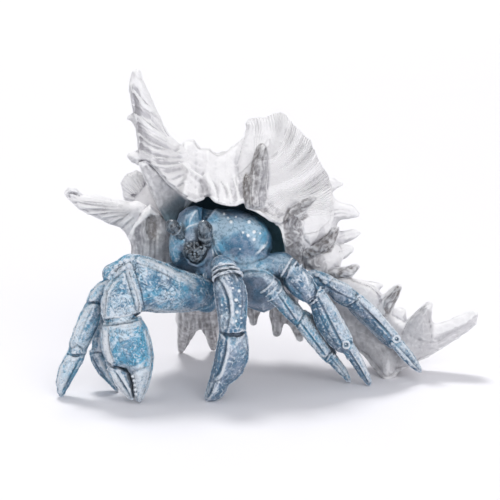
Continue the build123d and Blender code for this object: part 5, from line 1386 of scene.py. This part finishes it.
# Lines of the crab: points in the view, half width (mm), depth (mm, minus raises)
LINES = {
    "claw_arm": [([(132.6, 264), (136.6, 276), (141, 291), (144.6, 308)], 0.45, 0.4), ([(125.6, 273), (129.6, 286), (134, 300), (137, 313)], 0.5, 0.5),
                 ([(128.5, 266), (132.8, 280), (137.4, 295), (141, 309)], 1.7, -1.0), ([(138, 259), (150, 261.5), (165, 268.5), (180, 277), (190, 285)], 1.5, -0.35),
                 ([(137, 263.5), (150, 266.5), (165, 274), (178, 282)], 0.5, 0.35), ([(112, 280.5), (106, 290), (103.2, 303), (103.2, 316)], 1.3, -0.4),
                 ([(122, 273), (113, 281), (107, 292), (105.5, 305), (105, 317)], 0.45, 0.35), ([(102, 320.5), (115, 320), (128, 318), (141, 313)], 0.7, 0.8),
                 ([(104, 317.5), (116, 317), (128, 315), (139, 310)], 0.8, -0.4), ([(146, 309), (160, 311), (178, 311), (196, 308)], 1.0, -0.3)],
    "claw_hand": [([(103, 325.5), (115, 324.5), (128, 322.5), (142, 318.5)], 0.7, 0.8), ([(104.5, 328), (104, 340), (106, 352), (110.5, 364)], 1.5, -0.6),
                  ([(108.5, 329), (108, 340), (110, 352), (114, 362)], 0.5, 0.45), ([(147, 331), (150.5, 345), (151, 362), (147.5, 380), (142, 396)], 0.9, -0.35),
                  ([(110, 368), (117, 367.5), (123, 368.4)], 0.6, 0.5), ([(131, 372), (140, 369), (150, 366)], 0.6, 0.25), ([(108.5, 363), (110.5, 367)], 1.3, 0.9),
                  ([(106, 327), (118, 326.5), (130, 324.5), (141, 321)], 0.8, -0.4)],
    "claw_finger": [([(114.6, 371.6), (120, 380.6), (126, 389.6), (131, 397.6)], 0.7, 0.8), ([(119, 371), (124.6, 381), (129.4, 390), (132, 396)], 1.0, -0.35)],
    "front_claw": [([(218, 279), (223, 287), (227.5, 299), (229, 315), (226.5, 330)], 0.8, 1.1), ([(224, 282), (229.5, 292), (232.5, 304), (232.5, 322)], 1.2, -0.5),
                   ([(219, 332), (228, 335), (238, 334.5), (247, 331.5)], 0.6, 0.8), ([(226.5, 337), (224.5, 353), (219, 371), (213, 380)], 0.8, 1.0), ([(213.5, 383), (211, 390), (208, 397)], 0.6, 0.9),
                   ([(229.5, 338), (228, 354), (223, 371), (217.5, 380)], 0.9, -0.4), ([(216.5, 274), (221, 267.5), (228, 266.5), (235, 272), (240, 281)], 0.6, 0.5),
                   ([(216, 278.5), (220, 271.5), (227, 270.5), (233.5, 276), (237.5, 285)], 0.6, 0.55), ([(210, 381), (216, 381.5), (222, 379)], 0.5, 0.4), ([(242, 285), (243, 300), (241, 318)], 0.5, 0.35)],
    "left_outer_leg": [([(88, 303.3), (94, 302.5), (101, 304)], 0.6, 0.8), ([(99, 325), (92, 338), (86, 350)], 0.6, 0.7), ([(67, 354), (76, 355.7), (85.5, 354.5)], 0.6, 0.8), ([(80, 359), (72.5, 373), (64, 389)], 0.6, 0.45),
                       ([(69, 356), (61.5, 367), (58, 382), (59, 391)], 1.0, -0.4), ([(88, 308), (81.5, 318), (76, 330), (72, 345)], 0.9, -0.35), ([(92, 308), (85.5, 322), (79, 338)], 0.5, 0.3),
                       ([(72, 348), (77, 345), (83, 349)], 0.6, 0.45), ([(91, 295), (98, 286), (108, 281)], 0.9, -0.35)],
    "left_inner_leg": [([(92, 357), (99, 370), (110, 384)], 0.6, 0.6), ([(91, 353), (98, 352.5), (105, 354)], 0.6, 0.7), ([(97, 356), (104, 368), (113, 384)], 0.9, -0.35)],
    "right_front_leg": [([(279, 294.5), (288, 309), (296, 321)], 0.7, 0.9), ([(300, 322), (312, 338), (325, 355)], 0.6, 0.7), ([(296.5, 327), (301, 320.5), (305.5, 313)], 0.6, 0.8), ([(325, 360), (328.5, 355.5), (332.5, 351)], 0.6, 0.8),
                        ([(331, 358), (340, 368), (348, 379.5)], 0.6, 0.6), ([(282, 290), (292, 298), (303, 311)], 1.0, -0.4), ([(308, 317), (318, 329.5), (329, 348)], 1.0, -0.4), ([(298.5, 328), (310, 342), (323, 357)], 0.6, -0.3),
                        ([(334.5, 354.5), (341, 363), (349, 376)], 0.8, -0.35)],
    "right_middle_leg": [([(308, 301), (314.5, 297), (316.5, 289), (312.5, 278)], 0.6, 0.8), ([(318, 297.5), (326, 313.5), (338, 337.5), (342, 344.5)], 0.8, 1.0), ([(349, 352), (358, 366), (369, 384)], 0.7, 0.9),
                         ([(323, 294), (335, 309.5), (350, 336)], 1.1, -0.4), ([(353, 346), (362, 361), (370, 379)], 0.9, -0.4), ([(315, 301), (320, 316), (329, 334), (338, 347)], 0.5, 0.3),
                         ([(290, 282), (297, 290), (305, 298)], 0.6, 0.35), ([(300, 269), (306, 276), (309, 288)], 0.8, -0.3)],
    "right_rear_leg": [([(324, 285), (335, 291.5), (347, 297), (357, 301)], 0.6, 0.5), ([(360, 304.5), (375, 319.5), (391, 335.8)], 0.8, 1.0), ([(347, 307), (354, 303.5), (359.5, 298)], 0.6, 0.8), ([(397, 345), (408, 356), (419.5, 370)], 0.7, 0.9),
                       ([(363, 298.5), (380, 314), (397, 333.5)], 1.1, -0.4), ([(400, 341), (410, 352), (420, 367)], 0.8, -0.35), ([(322, 278), (336, 281.5), (350, 288)], 1.0, -0.35), ([(352, 311), (366, 325), (384, 342)], 0.6, -0.25)],
    "crab_body": [([(186, 210), (182, 222), (183, 234)], 0.6, 0.35), ([(183.6, 230.5), (189, 226.2), (198.6, 223.5)], 0.5, -0.22), ([(212, 240), (217, 251), (226, 260), (238, 264), (252, 263)], 0.9, 0.6),
                  ([(252, 262), (264, 258), (272, 250)], 0.8, 0.5), ([(256.5, 254), (262, 248.5), (267, 242.5)], 0.8, -0.4), ([(236, 275), (246, 271.5), (258, 271)], 0.6, 0.4), ([(187, 247), (188.5, 255), (193, 260.5), (199, 261), (204, 256), (205, 247)], 0.7, 0.8),
                  ([(198, 274), (198, 283), (200, 292)], 0.5, 0.5), ([(205, 273), (205, 282), (206, 291)], 0.5, 0.5), ([(211, 273), (212, 282), (213, 290)], 0.5, 0.5), ([(181, 234), (186, 240), (186, 248)], 0.6, 0.5), ([(213, 246), (216, 256), (216, 266)], 0.7, 0.7)],
}
DOTS = {
    "crab_body": [(231, 222, 1.5), (249, 222, 1.7), (224, 214, 1.1), (254, 232, 1.6), (248, 235.5, 1.5), (254, 239.5, 1.4), (243, 232.5, 1.0), (260, 233.5, 1.0), (228, 218, 0.9), (263, 247.5, 0.9), (240, 249, 0.7), (236, 217, 0.8)],
    "front_claw": [(236, 300, 1.6), (237, 312, 1.5), (239, 291, 1.3), (236, 321, 1.2), (240, 306, 1.1), (233, 288, 1.0), (241, 318, 1.0), (222, 305, 0.9), (222, 316, 1.0)],
    "claw_hand": [(132.6, 376.4, 1.2), (133.8, 380.8, 1.2), (134.8, 385.2, 1.2), (135.6, 389.6, 1.1), (136.4, 394, 1.0)],
    "right_middle_leg": [(345.6, 344.2, 0.5)],
    "right_rear_leg": [(396.2, 338.4, 0.5), (359, 299, 0.9)],
}


# Faces that are brushed paler: outline in the view, how much. On the eyestalks they are the pale rings and painted
# highlights on the eyes.
WHITES = {
    "right_eyestalk": [([(199, 237), (204, 239.6), (211, 238), (211, 240.4), (204, 242), (199, 239.4)], 0.5), ([(200, 229), (202, 224), (203.6, 222), (203, 230), (202, 236)], 0.35), ([(208, 228), (210, 233), (210, 238), (208.4, 238)], 0.35)],
    "left_eyestalk": [([(167, 227), (169, 223), (172, 221.4), (171, 224), (169.4, 228)], 0.45), ([(174, 230), (178, 229), (179.4, 231), (176, 233)], 0.5)],
    "claw_hand": [([(103, 330), (107.4, 329), (109, 345), (114, 361), (111, 367), (104.5, 353)], 1.0), ([(129, 374), (141, 370), (151, 367), (152, 380), (146, 397), (140, 404), (134, 398), (131, 384)], 0.75),
                  ([(103, 323), (141, 317), (144, 324), (130, 329), (104, 331)], 0.55), ([(118, 362), (135, 366), (152, 356), (150, 370), (134, 375), (118, 371)], 0.55), ([(146, 328), (151, 343), (153, 358), (149, 360), (147, 345), (143, 332)], 0.6)],
    "claw_finger": [([(109, 371), (114, 371), (121, 383), (131, 399), (127, 400), (116, 388)], 1.0), ([(124, 371), (131, 373), (134, 382), (135, 396), (131, 392)], 0.5)],
    "claw_arm": [([(112, 281), (106, 291), (102, 304), (102, 318), (107, 318), (107.4, 304), (111, 292), (118, 281)], 0.85), ([(128, 264), (133, 276), (140, 300), (143, 312), (138, 312), (130, 284), (125, 270)], 0.9),
                 ([(137, 257), (150, 259), (168, 266), (184, 275), (200, 284), (194, 289), (176, 280), (158, 271), (139, 264)], 0.6), ([(144, 304), (160, 308), (190, 306), (196, 312), (150, 314)], 0.35),
                 ([(108, 276), (114, 267), (122, 260), (131, 257), (131, 266), (120, 274), (111, 283)], 0.45), ([(104, 308), (139, 306), (141, 315), (104, 321)], 0.35)],
    "front_claw": [([(221, 281), (229, 285), (234.5, 300), (234.5, 326), (229, 329), (231, 305), (226, 292)], 0.20), ([(215, 266), (222, 262), (232, 264), (240, 276), (238, 284), (228, 277), (216, 281)], 0.28),
                   ([(228, 336), (247, 333), (248, 352), (236, 364), (226, 354)], 0.12), ([(214, 288), (219, 284), (224, 300), (223, 326), (218, 326)], 0.14), ([(205, 392), (212, 381), (220, 380), (214, 394), (207, 401)], 0.18)],
    "left_outer_leg": [([(88, 305), (80, 316), (73, 331), (70, 347), (76, 350), (81, 333), (87, 318), (95, 305)], 0.62), ([(68, 355), (60, 368), (57, 384), (60, 395), (66, 385), (72, 368), (79, 357)], 0.62), ([(90, 297), (98, 285), (110, 279), (114, 283), (102, 292), (95, 302)], 0.45)],
    "left_inner_leg": [([(92, 355), (100, 354), (110, 370), (117, 389), (108, 380), (97, 366)], 0.29)],
    "right_front_leg": [([(277, 287), (292, 296), (305, 311), (301, 317), (289, 303), (276, 294)], 0.41), ([(305, 313), (318, 326), (332, 351), (326, 355), (314, 334), (301, 319)], 0.41), ([(330, 352), (337, 354), (348, 371), (344, 374), (333, 360)], 0.29),
                        ([(266, 284), (274, 286), (275, 296), (268, 297)], 0.35)],
    "right_middle_leg": [([(290, 266), (300, 265), (309, 272), (315, 287), (308, 292), (302, 277), (294, 272)], 0.38), ([(318, 292), (326, 293), (336, 306), (352, 337), (345, 341), (328, 309), (316, 298)], 0.43), ([(349, 344), (355, 346), (370, 377), (366, 379), (354, 360)], 0.35),
                         ([(286, 266), (297, 266), (298, 277), (289, 277)], 0.35)],
    "right_rear_leg": [([(318, 275), (328, 274), (342, 280), (358, 292), (355, 299), (338, 288), (319, 282)], 0.38), ([(359, 297), (366, 298), (380, 311), (398, 334), (392, 338), (376, 319), (357, 303)], 0.41), ([(394, 342), (400, 339), (411, 351), (421, 369), (416, 369), (404, 355)], 0.32)],
    "crab_body": [([(178, 226), (183, 213), (193, 206), (198, 210), (190, 219), (183, 230)], 0.10), ([(207, 221), (214, 222), (216, 234), (212, 240), (208, 234)], 0.25), ([(243, 270), (266, 264), (282, 262), (284, 268), (262, 272), (246, 276)], 0.25)],
}


KNUCKLES = {"right_middle_leg": [(346.2, 345, 3.4)], "right_rear_leg": [(396.6, 339, 3.2)]}
# Greyer limbs, and faces that stay dark: outline in the view, how much. DARKS and part of SLATES are painted shade: the
# notch between plate and dome, the forehead and the dome's top under the lip's overhang, the body's underside above the
# first right leg, and the arm where it meets the body; round the mouth they darken and grey the face.
SLATE = {"claw_hand": 0.0, "claw_finger": 0.0, "claw_arm": 0.28, "front_claw": 0.44, "left_outer_leg": 0.08, "left_inner_leg": 0.45,
         "right_front_leg": 0.44, "right_middle_leg": 0.42, "right_rear_leg": 0.54, "crab_body": 0.25}
SLATES = {"crab_body": [([(238, 274), (256, 271), (276, 276), (286, 296), (270, 316), (240, 312)], 1.0), ([(176, 244), (214, 243), (216, 268), (196, 276), (178, 266)], 0.9), ([(183, 233), (190, 227), (200, 225), (201, 244), (185, 245)], 0.85), ([(214, 213), (236, 208), (256, 219), (262, 226), (250, 222), (234, 216), (218, 220)], 0.8)]}
TONE = {"front_claw": -1.15, "right_rear_leg": -0.45, "right_middle_leg": -0.35}
DARKS = {
    "crab_body": [([(198, 203), (216, 203), (213, 211), (208, 218), (204, 226), (200.5, 225), (200, 214)], 1.0), ([(176, 214), (181, 206), (192, 202), (203, 203), (203, 208), (192, 211), (184, 215), (178, 223)], 0.70),
                  ([(240, 278), (262, 277), (267, 286), (266, 300), (270, 303), (256, 302), (243, 300)], 0.80), ([(186, 264), (214, 264), (216, 298), (190, 298)], 0.08), ([(180, 245), (211, 243), (212, 259), (206, 269), (192, 270), (181, 264)], 0.40), ([(175, 250), (184, 248), (190, 262), (204, 264), (200, 272), (188, 272), (178, 264)], 0.20), ([(184, 233), (190, 228), (200, 226), (201, 244), (185, 245)], 0.26)],
    "claw_arm": [([(186, 280), (200, 282), (214, 288), (214, 306), (190, 310), (184, 298)], 0.22)],
}


def finish_crab(name, node, f):
    eyes = node in ("left_eyestalk", "right_eyestalk", "mouthparts")
    V, F = keep_largest(*f.mesh())
    V, ring = settle(f, V, F, 2)
    N = normals(V, F)
    cut, line, light = draw(V, N, LINES.get(node, ()))
    px, py = project(V[:, 0], V[:, 1], V[:, 2])
    calm = np.zeros(len(V))
    if node == "crab_body":
        calm = 0.45 + 0.55 * np.maximum(smooth01((266.0 - py) / 6.0) * smooth01((px - 206.0) / 6.0), 0.85 * smooth01((240.0 - py) / 8.0))
    W = V + 3.0 * np.stack([fbm(V, 5.0, 2, 71), fbm(V, 5.0, 2, 72), fbm(V, 5.0, 2, 73)], 1)
    crust, fine = crumple(W, 5.0, 31), crumple(W, 2.4, 37)
    bumpy = fbm(V, 6.0, 3, 11) * 0.42 + (crust - 0.36) * 0.18 + (fine - 0.36) * 0.24 + fbm(W, 1.7, 2, 15) * 0.24
    bumpy = bumpy * (1.0 - 0.85 * calm) * (0.3 if eyes else 1.0)
    dots = np.zeros(len(V))
    front = smooth01((-N[:, 1] + 0.1) / 0.3)
    for outline, amount in WHITES.get(node, ()):
        light = np.maximum(light, amount * front * smooth01(-polygon_distance(px, py, outline) / 3.0 + 0.5))
    for x, y, r in KNUCKLES.get(node, ()):
        d = np.hypot(px - x, py - y)
        light = np.maximum(light, front * np.exp(-(((d - r) / 1.1) ** 2)))
        line = np.maximum(line, front * smooth01((r - 1.0 - d) / 0.8))
    for x, y, r in DOTS.get(node, ()):
        dots = np.maximum(dots, front * smooth01((r + 0.5 - np.hypot(px - x, py - y)) / 0.9))
    V = V + N * (cut + bumpy * (1.0 - line) + 0.45 * dots)[:, None]
    V[:, 2] = np.maximum(V[:, 2], 0.0)
    N = normals(V, F)
    ao = shade(ALL, V, N, (2.0, 4.0, 8.0))
    cav = hollows(V, F, ring, max(2, int(8 * (0.5 / f.h) ** 2)))
    brow = hollows(V, F, ring, int(70 * (0.5 / f.h) ** 2))
    if node == "mouthparts":
        cav = cav * 0.60
    # tone: painted light by facing, higher on faces turned up and lower on faces turned down; TONE lowers some limbs as
    # a whole.
    tone = np.clip(N[:, 2] * 0.8 - 0.1, -1.0, 1.0) + TONE.get(node, 0.0)
    # painted shade: a thin dark outline where a face turns away from the viewer, not along the top
    line = np.maximum(line, 0.6 * smooth01((0.40 - np.abs(N[:, 1])) / 0.22) * (1.0 - smooth01((N[:, 2] - 0.15) / 0.35)))
    # DARKS: painted shade, with a lower tone, a dark line, and the pale marks and ridges taken away.
    for outline, amount in DARKS.get(node, ()):
        w = smooth01(-polygon_distance(px, py, outline) / 4.0 + 0.5) * smooth01((-N[:, 1] + 0.3) / 0.3)
        tone = tone - 2.0 * amount * w
        line = np.maximum(line, 0.75 * amount * w)
        light = light * (1.0 - amount * w)
        cav = np.where(cav < 0.0, cav * (1.0 - np.minimum(1.6 * amount, 1.0) * w), cav)
        brow = np.where(brow < 0.0, brow * (1.0 - np.minimum(1.6 * amount, 1.0) * w), brow)
    if node == "crab_body":
        # The dome: lighter and darker patches of tone, partly its mottled paint and partly painted light, darker along
        # its top under the lip; then painted shade and a dark outline where it turns away from the viewer.
        dome = smooth01((px - 206.0) / 6.0) * smooth01((264.0 - py) / 4.0)
        for x, y, a, b, amount in ((224, 227, 9, 9, 1.0), (252, 231, 8, 9, 0.9), (262, 247, 9, 3, 0.9), (238, 228, 8, 5, 0.5), (216, 238, 5, 8, 0.6), (235, 215, 14, 5, -0.9), (241, 248, 11, 10, -1.3), (261, 254, 9, 4, -0.8), (222, 250, 8, 6, -0.5), (270, 240, 5, 9, -0.9), (246, 238, 5, 4, -0.6)):
            tone = tone + 1.5 * dome * amount * np.exp(-(((px - x) / a) ** 2 + ((py - y) / b) ** 2))
        tone = tone - dome * 1.2 * smooth01((N[:, 1] + 0.50) / 0.4)
        line = np.maximum(line, dome * 0.55 * smooth01((N[:, 1] + 0.55) / 0.45) * smooth01((N[:, 1] + 1.0) / 0.2))
    slate = np.full(len(V), SLATE.get(node, 0.3))
    for outline, amount in SLATES.get(node, ()):
        slate = np.maximum(slate, amount * smooth01(-polygon_distance(px, py, outline) / 5.0 + 0.5))
    make(name, node, V, F, eye_mat if eyes else crab_mat,
         dict(ao=ao, cav=cav, line=line, light=light, smooth=calm, dots=dots, tone=tone, crust=0.6 * crust + 0.4 * fine, brow=brow, slate=slate))


# ------------------------------------------------------------------------------------------------
for part_name, g in shell_fields + [("shell_whorl", back_field)]:
    finish_shell(part_name, "shell", g, SHELL_RIBS, SHELL_LINES, wash_lines=SHELL_WASH, dims=SHELL_DIM, rough=1.8 if part_name == "shell_canal" else 1.15)
finish_shell("lip_spine_tall", "tall_frond", tall, [((192, 157), 14, 130, 110, 262, 120, 0.07, 0.0)], TALL_FLUTES, both=True, cords=False, rough=0.8, dims=TALL_DIM)
finish_shell("lip_spine_side", "side_frond", side_f, [((137, 206), 10, 90, 140, 200, 110, 0.12, 0.0)], [(q, w, 1.5 * d) for q, w, d in SIDE_FLUTES], both=True, cords=False, rough=0.9, dims=SIDE_DIM)
finish_shell("rear_spine_plate", "rear_frond", rear, [((150, 205), 10, 60, 170, 260, 60, 0.3, 0.0)], both=True, cords=False, rough=0.8)
for name, node, f in CRAB:
    finish_crab(name, node, f)

counts = {o.name: sum(len(p.vertices) - 2 for p in o.data.polygons) for o in bpy.context.scene.objects if o.type == "MESH" and o.get("tt_cad") is None}
print("triangles", {k: v for k, v in counts.items() if v > 20000})
